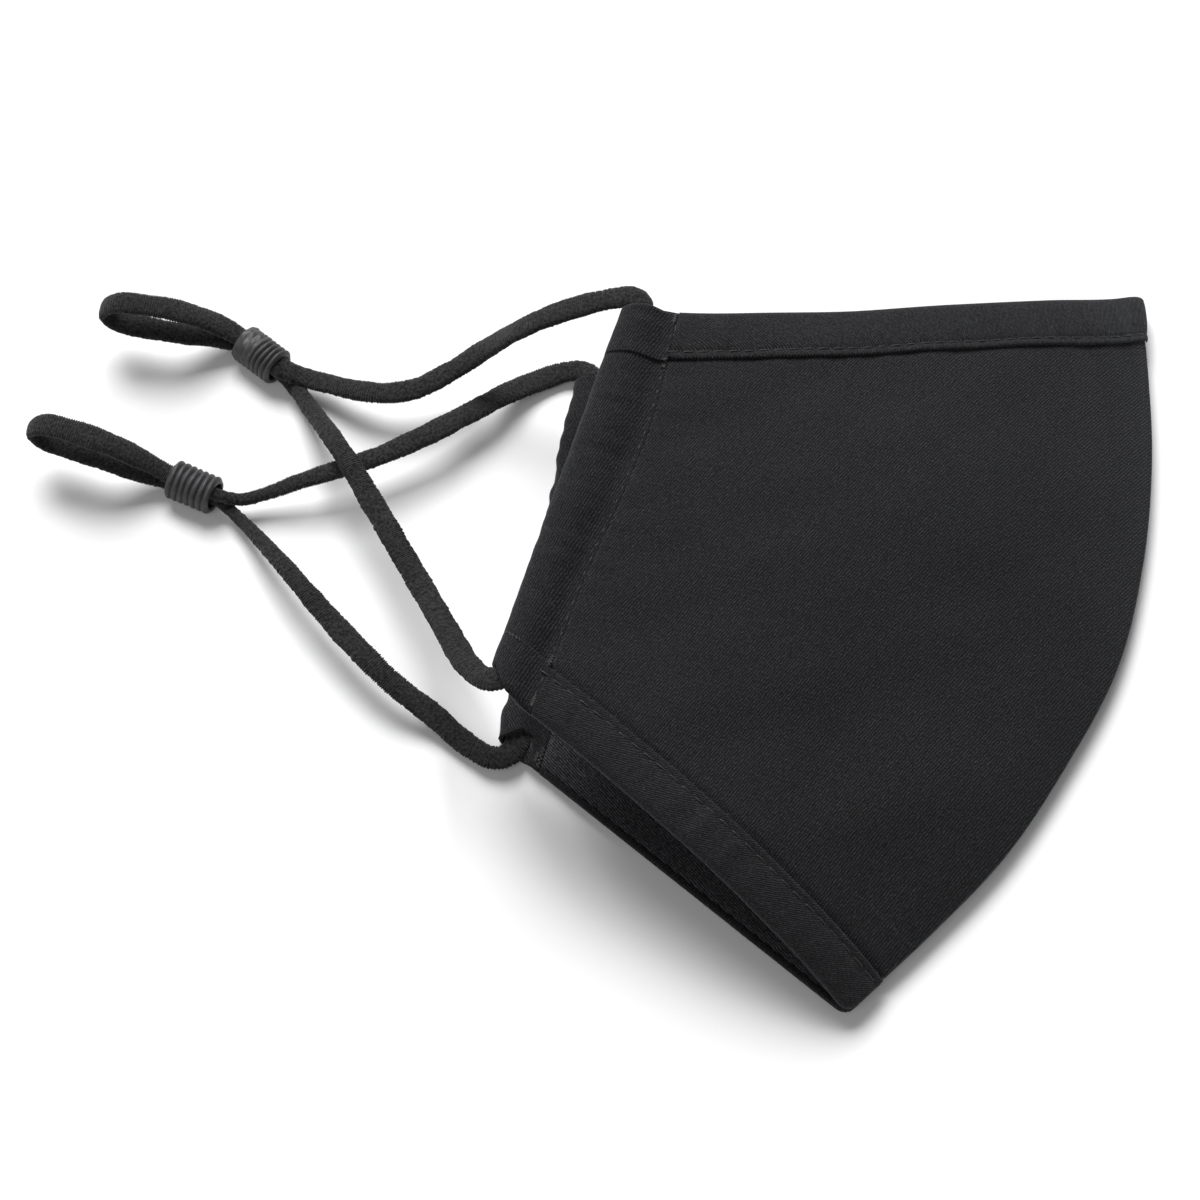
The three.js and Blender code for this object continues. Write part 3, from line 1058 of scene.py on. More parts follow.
@dataclass(frozen=True)
class FloorFinish:
    """Plain pale studio floor."""

    name: str = "pale floor"
    colour: Colour = (0.9, 0.9, 0.9)

    def build(self) -> Material:
        """Builds the material.

        Returns:
            The material.
        """
        material, shading, shader, place = start_material(self.name)
        paper = shading.remap(shading.noise(place, 30.0, 3.0), 0.3, 0.7, (0.995, 1.005))
        shading.put(shader, Base_Color=shading.toned(self.colour, paper), Roughness=0.9)
        shading.put(shader, Specular_IOR_Level=0.1)
        return material


# Sub-assemblies


@dataclass
class ClothHalf:
    """One half of the mask: its panel, two turned hems, side casing and stitches."""

    half: Half
    finishes: dict[str, Material]
    panel_rows: int = 120
    panel_columns: int = 120
    hem_rows: int = 150
    casing_rows: int = 150
    ear_sides: int = 18
    flange_steps: int = 13
    hem_stand: float = 0.68 * MM
    stitch_pitch: float = 3.05 * MM
    stitch_length: float = 2.5 * MM
    thread_radius: float = 0.15 * MM
    stitch_inset: float = 1.55 * MM
    mouth: Profile = NEAR_MOUTH
    bore_out: float = 0.25 * MM
    ear_wobble: float = 0.09 * MM
    lower_cut: float = 3 * MM
    corner_round: float = 2 * MM
    rim_reach: float = 1 * MM
    end_reach: float = 1.2 * MM
    end_drop: float = 1.15 * MM
    line_inset: float = 0.45 * MM
    bow: Profile = Profile((0, 1), (0, 0))
    flat_width: float = 0.92
    flat_length: float = 0.96
    cut_share: float = 0.68

    @property
    def sizes(self) -> MaskSizes:
        """Sizes of the mask."""
        return self.half.sizes

    @property
    def prefix(self) -> str:
        """Start of each piece's name."""
        return self.half.side.value

    @property
    def sleeve(self) -> float:
        """How far the casing's wall stands out from the middle of its bore."""
        return self.sizes.cord_thickness / 2 + self.sizes.cord_play + self.sizes.casing_wall

    @property
    def sewn_line(self) -> float:
        """Distance of the casing's stitches from the ear edge, before the line bows."""
        return self.sizes.casing_width - self.line_inset

    def hem_end(self, edge: Edge) -> Array:
        """Share along at which a hem ends beside the ear edge."""
        return self.half.from_edge(edge, self.sizes.hem_width(edge), 1.0)

    def casing_point(self, inward: Array, along: Array, out: Array) -> Array:
        """Points of the casing, moved with its bowed line.

        Args:
            inward: Distances from the ear edge before the line bows.
            along: Shares from the chin to the top.
            out: Distances outside the middle of the panel's wall.

        Returns:
            The points, in metres.
        """
        return self.half.at(self.half.from_ear(self.bowed(inward, along), along), along, out)

    def ear_end(self, along: Any) -> Array:
        """Distance from the ear edge at which the panel and hems meet the casing's flange."""
        return self.sizes.casing_width + 0.08 * MM + self.bow.read(along)

    def bowed(self, inward: Array, along: Array) -> Array:
        """Distance from the ear edge once the casing's sewn line bows away from that edge.

        Args:
            inward: Distances from the ear edge in the casing's plain section.
            along: Shares from the chin to the top.

        Returns:
            The distances, the same beside the cord and moved most at the sewn line.
        """
        start = self.sizes.cord_width / 2
        share = np.clip((inward - start) / (self.sizes.casing_width - start), 0, None)
        return inward + share * self.bow.read(along)

    def pucker(self, across: Array, along: Array) -> Array:
        """Small gathers of the cloth beside the sewing.

        Args:
            across: Shares from the seam to the ear edge.
            along: Shares from the chin to the top.

        Returns:
            How far they lift the cloth, in metres.
        """
        from_ear = (1 - across) * self.half.side_length(along) - self.ear_end(along)
        from_top, from_chin = (self.half.inside_hem(edge, across, along) for edge in Edge)
        lift = bell(from_ear, 5 * MM) * rippled(EAR_GATHERS, along)
        lift = lift + bell(from_top, 6 * MM) * rippled(TOP_GATHERS, across)
        for gap, depth in ((from_top, 0.12 * MM), (from_chin, 0.42 * MM)):
            lift = lift - depth * bell(gap - 0.2 * MM, 0.75 * MM)
        return lift

    def panel(self) -> Piece:
        """Builds the panel.

        Returns:
            A closed wall with a rounded edge at the seam.
        """
        half = self.half
        wall = self.sizes.panel_wall / 2
        edge_in = self.sizes.hem_wall + self.sizes.clearance
        closer_at_seam = 1.15
        rows = np.linspace(0, 1, self.panel_rows + 1) ** closer_at_seam
        beside_hem = np.linspace(0.035, 0.085, 26)
        columns = [np.linspace(0, 1, self.panel_columns + 1), beside_hem, 1 - beside_hem]
        columns = np.unique(np.concatenate(columns))[None, :]
        reach = half.from_ear(self.ear_end(0), 0.5)
        row, beyond, thick = rounded_rim(rows, (82, 64, 45, 25))
        beyond, thick = wall * beyond, wall * thick
        bottom = half.from_edge(Edge.CHIN, edge_in, row * reach)
        top = half.from_edge(Edge.TOP, edge_in, row * reach)
        along = bottom * (1 - columns) + top * columns
        across = row * half.from_ear(self.ear_end(along), along) - beyond / half.side_length(along)
        pucker = self.pucker(across, along)
        outer = half.at(across, along, thick + pucker)
        inner = half.at(across, along, -thick + pucker)
        return strip_body(f"{self.prefix}_panel_cloth", np.concatenate([outer, inner[:, ::-1]], axis=1))

    def hem_section(self, width: float) -> tuple[Array, Array]:
        """Section of a hem, out round the fold and the edge and back under the band.

        Args:
            width: Width of the hem.

        Returns:
            Distances from the edge, and distances out from the middle of the panel.
        """
        face = self.sizes.panel_wall / 2
        under = face + 0.05 * MM
        top = face + self.hem_stand
        stitch = width - self.stitch_inset
        groove = 0.28 * MM
        rows = (
            (width - 0.12 * MM, under),
            (width, under + 0.25 * MM),
            (width - 0.05 * MM, top - 0.22 * MM),
            (width - 0.25 * MM, top - 0.05 * MM),
            (width - 0.6 * MM, top),
            (stitch + 0.42 * MM, top - 0.06 * MM),
            (stitch, top - groove),
            (stitch - 0.45 * MM, top - 0.05 * MM),
            (stitch - 1.1 * MM, top + 0.1 * MM),
            (width * 0.62, top + 0.24 * MM),
            (width * 0.45, top + 0.26 * MM),
            (width * 0.28, top + 0.2 * MM),
            (1.4 * MM, top + 0.05 * MM),
            (0.7 * MM, top - 0.22 * MM),
            (0.25 * MM, top - 0.62 * MM),
            (0.03 * MM, top - 1.1 * MM),
            (0.05 * MM, -face + 0.45 * MM),
            (0.3 * MM, -face + 0.08 * MM),
            (0.7 * MM, -face),
            (self.sizes.hem_wall + 0.1 * MM, -face + 0.02 * MM),
            (self.sizes.hem_wall, -face + 0.3 * MM),
            (self.sizes.hem_wall, under - 0.2 * MM),
            (self.sizes.hem_wall + 0.3 * MM, under),
            (width * 0.5, under),
        )
        table = np.array(rows)
        return table[:, 0], table[:, 1]

    def hem(self, edge: Edge) -> Piece:
        """Builds one turned hem.

        Args:
            edge: The edge that it is turned over.

        Returns:
            A closed band round the panel's edge.
        """
        half = self.half
        inward, out = self.hem_section(self.sizes.hem_width(edge))
        rows, beyond, thick = rounded_rim(np.linspace(0, 1, self.hem_rows + 1), (86, 66, 46, 28, 12))
        beyond = self.rim_reach * beyond
        reach = half.from_ear(self.ear_end(0), 0.5)
        rough = half.from_edge(edge, inward[None, :], rows * reach)
        corner = np.maximum(0, self.corner_round - inward)[None, :]
        cut = (self.corner_round - np.sqrt(self.corner_round**2 - corner**2)) * (1 - ease(rows, 0, 0.08))
        across = rows * half.from_ear(self.ear_end(rough), rough) + (cut - beyond) / half.side_length(rough)
        along = half.from_edge(edge, inward[None, :], np.maximum(across, 0))
        inside = inward[None, :] / self.sizes.hem_width(edge)
        on_face = out[None, :] > self.sizes.panel_wall / 2 + 0.3 * MM
        crown = np.sin(math.pi * np.clip(inside, 0, 1)) * on_face
        rings = half.at(across, along, (out[None, :] + crown * rippled(HEM_WAVES, across)) * thick)
        return strip_body(f"{self.prefix}_{edge.value}_cloth", rings)

    def hem_step(self, along: Array) -> Array:
        """Share of a hem's thickness that lies over the casing at each share along.

        Args:
            along: Shares from the chin to the top.

        Returns:
            1 on the hems, 0 between them, with a steep soft step at each folded edge.
        """
        chin, top = self.hem_end(Edge.CHIN), self.hem_end(Edge.TOP)
        soft = 0.0035
        return 1 - ease(along, chin - soft, chin) * (1 - ease(along, top, top + soft))

    def casing_section(self) -> tuple[Array, Array, Array]:
        """Section of the casing from the ear edge round the cord to the sewn flange.

        Returns:
            Distances from the ear edge, heights above the bore's middle from -1 to 1, and the share of
            each point that follows the cord rather than the flat flange.
        """
        size = self.sizes
        reach = size.cord_width / 2 + size.cord_play + size.casing_wall
        turn = np.radians(np.linspace(-90, 90, self.ear_sides + 1))
        flat = np.linspace(0, 1, self.flange_steps + 1)[1:]
        fall = 1 - ease(flat, 0.02, 0.84)
        ear_in = reach * (1 - np.cos(turn))
        flange_in = reach + (size.casing_width - reach) * flat
        inward = np.concatenate([ear_in, flange_in, flange_in[::-1]])
        level = np.concatenate([np.sin(turn), np.ones(len(flat)), -np.ones(len(flat))])
        follow = np.concatenate([np.ones(len(turn)), fall, fall[::-1]])
        return inward, level, follow

    def casing_stations(self) -> Array:
        """Where the casing has its rings.

        Returns:
            Shares along it, closer together at both ends and at the hems' edges.
        """
        close = np.linspace(0, 0.014, 9)
        beside = np.linspace(-0.006, 0.006, 13)
        steps = [self.hem_end(edge) + beside for edge in Edge]
        even = np.linspace(0, 1, self.casing_rows + 1)
        return np.unique(np.concatenate([close, even, 1 - close, *steps]))

    def mouth_cut(self, station: Array, inward: Array, upper: Array) -> Array:
        """How much further up the casing its chin mouth starts.

        Args:
            station: Shares along the casing.
            inward: Distances from the ear edge.
            upper: Where the wall is the casing's outer one.

        Returns:
            Extra shares along, more on the wall that faces up, which fade out by the end of the chin hem.
        """
        cut = np.interp(inward, self.mouth.places, self.mouth.values)
        plain = self.lower_cut * np.clip(1 - inward / (7.5 * MM), 0, 1)
        cut = np.where(upper if self.half.outward > 0 else ~upper, cut, plain)
        shares_per_metre = self.half.from_edge(Edge.CHIN, 1.0, 1.0)
        return shares_per_metre * cut * np.maximum(0, 1 - station / self.hem_end(Edge.CHIN))

    def casing_sink(self, inward: Array) -> Array:
        """Depth of the casing's valley and of the groove along its stitches.

        Args:
            inward: Distances from the ear edge.

        Returns:
            The depth at each distance, in metres.
        """
        groove = 0.3 * MM * bell(inward - self.sewn_line, 0.4 * MM)
        valley = 0.42 * MM * bell(inward - 0.86 * self.sizes.casing_width, 1.5 * MM)
        return groove + valley

    def casing_face(self, inward: Array, level: Array, follow: Array, along: Array) -> Array:
        """Height of the casing's outer face for points of its section.

        Args:
            inward: Distances from the ear edge.
            level: Heights above the bore's middle from -1 to 1.
            follow: Share of each point that follows the cord rather than the flat flange.
            along: Shares from the chin to the top.

        Returns:
            Distances outside the middle of the panel's wall.
        """
        over_cord = 0.55
        step = self.hem_step(along) * self.hem_stand
        full = self.bore_out + self.sleeve * level + over_cord * step * follow
        flat = self.sizes.panel_wall / 2 + step
        return full * follow + flat * (1 - follow) - self.casing_sink(inward)

    def casing(self) -> Piece:
        """Builds the side casing.

        Returns:
            A hollow sleeve round the cord that thins to a flange sewn to the panel.
        """
        size = self.sizes
        station = self.casing_stations()[:, None]
        inward, level, follow = (part[None, :] for part in self.casing_section())
        upper = level > 0
        along = station + self.mouth_cut(station, inward, upper)
        lower_face = (self.bore_out + self.sleeve * level) * follow - size.panel_wall / 2 * (1 - follow)
        belly = np.sin(math.pi * np.clip(inward / size.casing_width, 0, 1))
        upper_face = self.casing_face(inward, level, follow, along) + rippled(CASING_GATHERS, along) * belly
        rate_top, rate_chin = (self.half.edge_rate(1.0, edge) for edge in (1, 0))
        from_end = np.maximum(np.minimum((1 - along) * rate_top, along * rate_chin), 0)
        rounded = np.maximum(0, 1 - from_end / self.end_reach) ** 2.4
        drop = self.end_drop * rounded * (1 - 0.6 * follow)
        bulge = EAR_BENDS[0].read(along) * EAR_BENDS[1].read(along) + EAR_NICKS.read(along)
        side_in = inward + self.ear_wobble * bulge * np.clip(1 - inward / (5 * MM), 0, 1)
        outer = self.casing_point(side_in, along, np.where(upper, upper_face - drop, lower_face))
        angle = np.radians(np.linspace(-90, 270, inward.size, endpoint=False))[None, :]
        bore_width = size.cord_width / 2 + size.cord_play
        bore_in = bore_width + size.casing_wall - bore_width * np.cos(angle)
        bore_up = self.bore_out + (self.sleeve - size.casing_wall) * np.sin(angle)
        bore_along = station + self.mouth_cut(station, bore_in, bore_up > self.bore_out)
        inner = self.casing_point(bore_in, bore_along, bore_up)
        return sleeve_body(f"{self.prefix}_side_casing_cloth", outer, inner)

    def stitch_run(self, place: Callable[[Array], Array], lift: float, share: float = 1) -> list[Array]:
        """Paths of the stitches of one sewn line.

        Args:
            place: Gives points of the line for shares of its length.
            lift: How far a stitch stands up in its middle.
            share: Length of each stitch as a share of the usual.

        Returns:
            The path of each stitch.
        """
        length = run_length(place(np.linspace(0, 1, 60)))
        count = max(1, round(length / self.stitch_pitch))
        reach = share * self.stitch_length / length
        paths = []
        for i in range(count):
            t = np.linspace(0, 1, 7)
            along = (i + 0.5) / count + (t - 0.5) * reach
            arc = np.sin(math.pi * t) ** 0.6
            points = place(np.clip(along, 0, 1))
            points[:, 2] += arc * lift - (1 - arc) * 0.22 * MM
            paths.append(points)
        return paths

    def casing_top(self, inward: Array, along: Array) -> Array:
        """Height of the casing's outer face.

        Args:
            inward: Distances from the ear edge.
            along: Shares from the chin to the top.

        Returns:
            Distances outside the middle of the panel's wall.
        """
        place, level, follow = self.casing_section()
        shown = slice(self.ear_sides // 2, self.ear_sides + 1 + self.flange_steps)
        level = np.interp(inward, place[shown], level[shown])
        follow = np.interp(inward, place[shown], follow[shown])
        return self.casing_face(inward, level, follow, along)

    def tacks(self) -> list[Array]:
        """Paths of the zigzag tacks that lock the sewn lines on the casing.

        Returns:
            The path of each tack.
        """
        chin, top = float(self.hem_end(Edge.CHIN)), float(self.hem_end(Edge.TOP))
        line = self.sewn_line
        # The first crosses the casing, the others run along its sewn line: inward and along of both ends
        runs = (
            ((0.5 * MM, chin + 0.004), (3.7 * MM, chin - 0.004)),
            ((line, chin - 0.01), (line, chin + 0.014)),
            ((line, 0.012), (line, 0.03)),
            ((line, top - 0.012), (line, top + 0.008)),
            ((line, 0.968), (line, 0.988)),
        )
        # On the inner face, beside the chin mouth
        inner_runs = (((line, 0.006), (line, 0.05)), ((line - 0.9 * MM, 0.012), (line - 0.7 * MM, 0.034)))
        turns = np.arange(10)
        share = turns / turns[-1]
        sway = np.where(turns % 2 == 0, 1.0, -1.0)
        fine = np.linspace(0, turns[-1], 46)
        paths = []
        for start, end in (*runs, *inner_runs):
            crossing = (start, end) == runs[0]
            inward = start[0] + (end[0] - start[0]) * share + (0 if crossing else 0.38 * MM) * sway
            along = start[1] + (end[1] - start[1]) * share + (0.0026 if crossing else 0) * sway
            inward = np.interp(fine, turns, inward)
            along = np.interp(fine, turns, along)
            out = self.casing_top(inward, along) + (0 if crossing else 0.16 * MM)
            if (start, end) in inner_runs:
                out = np.full_like(out, -self.sizes.panel_wall / 2 - 0.1 * MM)
            paths.append(self.casing_point(inward, along, out))
        return paths

    def stitches(self) -> Piece:
        """Builds the stitches of both hems and of the casing.

        Returns:
            One mesh of short threads.
        """
        half = self.half
        out = self.sizes.panel_wall / 2 + self.hem_stand - 0.2 * MM
        paths: list[Array] = []
        for edge in Edge:
            inset = self.sizes.hem_width(edge) - self.stitch_inset

            def on_hem(t: Array, edge: Edge = edge, inset: float = inset) -> Array:
                """Points on the hem's sewn line.

                Args:
                    t: Shares of its length.
                    edge: The edge that the hem is on.
                    inset: Distance of the line from that edge.

                Returns:
                    The points, in metres.
                """
                ear_end = self.ear_end(float(edge is Edge.TOP))
                across = t * half.from_ear(ear_end, np.full_like(t, 0.5))
                return half.at(across, half.from_edge(edge, inset, across), np.full_like(t, out))

            paths += self.stitch_run(on_hem, 0.1 * MM * half.outward)

        def on_casing(t: Array) -> Array:
            """Points on the casing's sewn line.

            Args:
                t: Shares of its length.

            Returns:
                The points, in metres.
            """
            margin = 0.015
            along = margin + (1 - 2 * margin) * t
            inward = np.full_like(t, self.sewn_line)
            return self.casing_point(inward, along, self.casing_top(inward, along) + 0.04 * MM)

        paths += self.stitch_run(on_casing, 0.05 * MM * half.outward, 0.45)
        paths += self.tacks()
        points, faces = thread_tube(paths, self.thread_radius, 6)
        return new_mesh(f"{self.prefix}_stitches", points, faces)

    def dress(self) -> Piece:
        """Builds and dresses every piece of the half.

        Returns:
            The panel.
        """
        side = self.prefix
        panel = self.panel()
        hems = [self.hem(edge) for edge in Edge]
        casing = self.casing()
        stitches = self.stitches()
        finish_piece(panel, self.finishes["panel"], Slot.TWILL, f"{side}_panel")
        for edge, hem in zip(Edge, hems):
            finish_piece(hem, self.finishes[edge.value], Slot.TWILL, f"{side}_{edge.value}")
        finish_piece(casing, self.finishes["casing"], Slot.TWILL, f"{side}_side_casing")
        finish_piece(stitches, self.finishes["thread"], Slot.TWILL)
        flat = (self.flat_width * self.sizes.width, self.flat_length * self.sizes.length)
        return panel


def bead_middle(side: Side) -> Array:
    """Middle of the bead on one cord."""
    low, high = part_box(f"{side.value}_cord_bead")
    return np.array((low + high) / 2)


@dataclass
class EarCord:
    """A flat knitted elastic that runs through its casing and twice through its bead."""

    side: Side
    route: Route
    bead: Piece
    material: Material
    width: float = 4.6 * MM
    thickness: float = 2.0 * MM
    step: float = 0.105 * MM
    sides: int = 18
    rib_pitch: float = 0.46 * MM
    rib_height: float = 0.13 * MM
    fray: float = 0.055 * MM
    corners: tuple[float, float] = (0.92, 0.86)
    pinches: tuple[float, float] = (0.08, 0.34)
    pinch_reach: float = 28 * MM
    spring: float = 6.3 * MM
    loop_lift: float = 6.3 * MM
    view_slope: float = 0.53
    loop_spread: float = 0.05
    loop_pinch: float = 0.22
    loop_pinch_reach: float = 6.5 * MM

    def frames(self, path: Array) -> tuple[Array, Array]:
        """Directions of the cord's width and thickness, kept level so that it lies on its flat side.

        Args:
            path: Even points along the cord.

        Returns:
            The width direction and the thickness direction at each point.
        """
        tangent = unit(np.gradient(path, axis=0))
        level = np.cross(np.array([0.0, 0.0, 1.0]), tangent)
        trust = np.linalg.norm(level, axis=1)
        last = level[0]
        for i in range(len(level)):
            if trust[i] < 0.5:
                level[i] = 0
                continue
            if np.dot(level[i], last) < 0:
                level[i] *= -1
            last = level[i]
        reach = round(2.6 * MM / self.step)
        kernel = np.hanning(2 * reach + 1)
        weighted = level * (trust**2)[:, None]
        smooth = np.stack([np.convolve(part, kernel, mode="same") for part in weighted.T], axis=1)
        smooth = unit(smooth - tangent * np.sum(smooth * tangent, axis=1, keepdims=True))
        return smooth, np.cross(tangent, smooth)

    def stand_off(self, path: Array, from_bead: Array, outside: Array) -> Array:
        """Raises the cord off the surface without moving it in the camera's picture.

        Args:
            path: Even points along the cord.
            from_bead: Distance of each point from the bead.
            outside: Which points are on the small free loop beyond the bead.

        Returns:
            The points, raised along the line of sight.
        """
        strand = self.spring * ease(from_bead, 5 * MM, 27 * MM) * (1 - ease(from_bead, 50 * MM, 75 * MM))
        lift = np.where(outside, self.loop_lift * ease(from_bead, 5 * MM, 22 * MM), strand)
        height = path[:, 2] + lift
        reach = round(12 * MM / self.step)
        kernel = np.hanning(2 * reach + 1)
        calm = np.convolve(np.pad(height, reach, mode="edge"), kernel / kernel.sum(), mode="valid")
        free = ease(from_bead, 6 * MM, 20 * MM) * (1 - ease(path[:, 0], -72 * MM, -63 * MM))
        lift = lift + np.where(outside, 0, free) * (calm - height)
        return path + np.stack([0 * lift, -self.view_slope * lift, lift], axis=1)

    def squeeze(self, path: Array, from_bead: Array, outside: Array) -> Array:
        """Share of its usual width that the cord has at each point.

        Args:
            path: Even points along the cord.
            from_bead: Distance of each point from the bead.
            outside: Which points are on the small free loop beyond the bead.

        Returns:
            Less than 1 where the bead pinches the cord and at the loop's tip.
        """
        turn = np.argmin(path[:, 0])
        pinch = np.where(np.arange(len(path)) < turn, *self.pinches) * bell(from_bead, self.pinch_reach)
        loop_pinch = self.loop_pinch * np.exp(-((from_bead / self.loop_pinch_reach) ** 4))
        spread = self.loop_spread * ease(from_bead, 6 * MM, 13 * MM)
        share = 1 - np.where(outside, loop_pinch - spread, pinch)
        return share * (1 - 0.12 * bell(np.linalg.norm(path - path[turn], axis=1), 2.2 * MM))

    def build(self) -> tuple[Piece, Array]:
        """Builds the cord.

        Returns:
            The cord and the points that it follows.
        """
        path = smooth_path(self.route, self.step)
        centre = bead_middle(self.side)
        from_bead = np.linalg.norm(path - centre, axis=1)
        outside = path[:, 0] < centre[0]
        path = self.stand_off(path, from_bead, outside)
        squeeze = self.squeeze(path, from_bead, outside)
        wide, thick = self.frames(path)
        travelled = np.arange(len(path)) * self.step
        fill = 1 + 0.38 * np.exp(-((from_bead / (6.2 * MM)) ** 6))
        uneven = 1 + rippled(WIDTH_WAVES, travelled)
        ribs = Ripple(math.tau / self.rib_pitch, self.rib_height, 0.9, 1 / MM)
        rib = (1 - RIB_FADE.depth + RIB_FADE.read(travelled)) * ribs.read(travelled)
        angle = math.tau * np.arange(self.sides) / self.sides
        cos, sin = np.cos(angle), np.sin(angle)
        square_cos = np.sign(cos) * np.abs(cos) ** self.corners[0]
        square_sin = np.sign(sin) * np.abs(sin) ** self.corners[1]
        fray = [self.fray_noise(len(path), seed) for seed in (3, 8)]
        edge = np.where(cos[None, :] > 0, fray[0][:, None], fray[1][:, None])
        side_reach = ((self.width / 2 * squeeze * uneven + rib)[:, None] + edge) * square_cos[None, :]
        face_reach = (self.thickness / 2 * fill + 0.7 * rib)[:, None] * square_sin[None, :]
        around = side_reach[..., None] * wide[:, None] + face_reach[..., None] * thick[:, None]
        rings = path[:, None] + around
        faces = ring_faces(len(path), self.sides)
        last = (len(path) - 1) * self.sides
        faces.append(list(range(self.sides))[::-1])
        faces.append([last + k for k in range(self.sides)])
        return new_mesh(f"{self.side.value}_ear_cord_knit", rings, turned_out(rings, faces)), path

    def fray_noise(self, count: int, seed: int) -> Array:
        """Uneven edge of the knit.

        Args:
            count: How many values are wanted.
            seed: Picks another run of values.

        Returns:
            Small smooth random offsets, in metres.
        """
        kernel = np.hanning(7)
        values = np.random.default_rng(seed).normal(0, 1, count)
        return np.convolve(values, kernel / np.linalg.norm(kernel), mode="same") * self.fray

    def dress(self) -> Piece:
        """Returns:
            The cord.
        """
        cord, path = self.build()
        finish_piece(cord, self.material, Slot.KNIT, f"{self.side.value}_ear_cord")
        return cord


@dataclass
class AdjusterBead:
    """A ribbed rubber bead that holds two strands of its cord together."""

    side: Side
    turn: float
    material: Material
    ribs: int = 8
    smeared: float = 0.0
    length: float = 9.2 * MM
    bore: float = 5.3 * MM
    groove: float = 3.12 * MM
    crest: float = 3.84 * MM
    sides: int = 96
    steps_per_rib: int = 14

    def build(self) -> Piece:
        """Builds the bead.

        Returns:
            A closed ribbed ring.
        """
        steps = self.ribs * self.steps_per_rib
        share = np.linspace(0, 1, steps + 1)[:, None]
        angle = (math.tau * np.arange(self.sides) / self.sides)[None, :]
        wobble = 0.06 * np.sin(angle * 2 + 1.3) + 0.04 * np.sin(angle * 3 - share * 9)
        phase = share * self.ribs + wobble * 1.4
        ridge = np.abs(np.sin(math.pi * phase)) ** 0.8
        smear_along = ease(-share, -0.6, -0.34)
        smear_around = ease(np.sin(angle - 0.2), -0.3, 0.5)
        fused = self.smeared * smear_along * smear_around
        lumps = 0.12 * np.sin(5 * angle + 14 * share) + 0.1 * np.sin(9 * angle - 23 * share)
        ridge = ridge * (1 - fused) + (0.85 + lumps) * fused
        radius = self.groove + (self.crest - self.groove) * ridge
        radius = radius * (1 + 0.012 * np.sin(2 * angle + 5 * share))
        along = (share - 0.5) * self.length + 0 * angle
        cos, sin = math.cos(math.radians(self.turn)), math.sin(math.radians(self.turn))
        spin = np.array([[cos, -sin, 0], [sin, cos, 0], [0, 0, 1]])
        outer, inner = (
            np.stack([along, reach * np.cos(angle), reach * np.sin(angle)], axis=-1) @ spin.T
            + bead_middle(self.side)
            for reach in (radius, self.bore / 2 + 0 * radius)
        )
        return sleeve_body(f"{self.side.value}_cord_bead_rubber", outer, inner)

    def dress(self) -> Piece:
        """Builds and dresses the bead.

        Returns:
            The bead.
        """
        bead = self.build()
        finish_piece(bead, self.material, Slot.RUBBER, f"{self.side.value}_cord_bead")
        return bead


@dataclass
class Studio:
    """Camera, pale floor and soft light from above and behind."""

    azimuth: float = 0.0
    elevation: float = 62.0
    lens: float = 100.0
    sensor: float = 36.0
    distance: float = 0.63333
    target: tuple[float, float, float] = (-0.04399, 0.00895, 0.0)
    floor_size: float = 6.0
    world_strength: float = 0.12
    key_power: float = 122.0
    key_place: tuple[float, float, float] = (-0.5, 1.8, 2.25)
    key_size: float = 1.75
    fill_power: float = 24.4
    fill_place: tuple[float, float, float] = (-0.7, -1.8, 2.6)
    fill_size: float = 2.4

    def camera(self) -> None:
        """Sets up the camera at the photograph's angle."""
        data = bpy.data.cameras.new("camera")
        data.lens = self.lens
        data.sensor_width = self.sensor
        data.clip_start = 0.01
        data.clip_end = 20.0
        camera = bpy.data.objects.new("camera", data)
        bpy.context.scene.collection.objects.link(camera)
        around, up = math.radians(self.azimuth), math.radians(self.elevation)
        back = Vector((math.sin(around) * math.cos(up), -math.cos(around) * math.cos(up), math.sin(up)))
        camera.location = Vector(self.target) + back * self.distance
        camera.rotation_mode = "QUATERNION"
        camera.rotation_quaternion = (-back).to_track_quat("-Z", "Y")
        bpy.context.scene.camera = camera

    def floor(self) -> None:
        """Lays the floor, which isn't part of the mask."""
        half = self.floor_size / 2
        corners = np.array([[-half, -half, 0], [half, -half, 0], [half, half, 0], [-half, half, 0]])
        floor = new_mesh("studio_floor", corners, [[0, 1, 2, 3]])
        floor.data.materials.append(FloorFinish().build())

    def area_light(self, name: str, place: tuple[float, float, float], size: float, power: float) -> None:
        """Adds a soft square light that faces the mask.

        Args:
            name: The light's name.
            place: Where it stands, in metres.
            size: Its width.
            power: Its power in watts.
        """
        data = bpy.data.lights.new(name, "AREA")
        data.size = size
        data.energy = power
        light = bpy.data.objects.new(name, data)
        light.location = place
        light.rotation_mode = "QUATERNION"
        light.rotation_quaternion = Vector(place).to_track_quat("Z", "Y")
        bpy.context.scene.collection.objects.link(light)

    def light(self) -> None:
        """Lights the scene: a key from above and behind, and an even pale surround."""
        self.area_light("key_light", self.key_place, self.key_size, self.key_power)
        self.area_light("fill_light", self.fill_place, self.fill_size, self.fill_power)
        world = bpy.data.worlds.new("surround")
        world.use_nodes = True
        background = world.node_tree.nodes["Background"]
        background.inputs["Color"].default_value = (1.0, 1.0, 1.0, 1.0)
        background.inputs["Strength"].default_value = self.world_strength
        bpy.context.scene.world = world
        bpy.context.scene.view_settings.view_transform = "Standard"


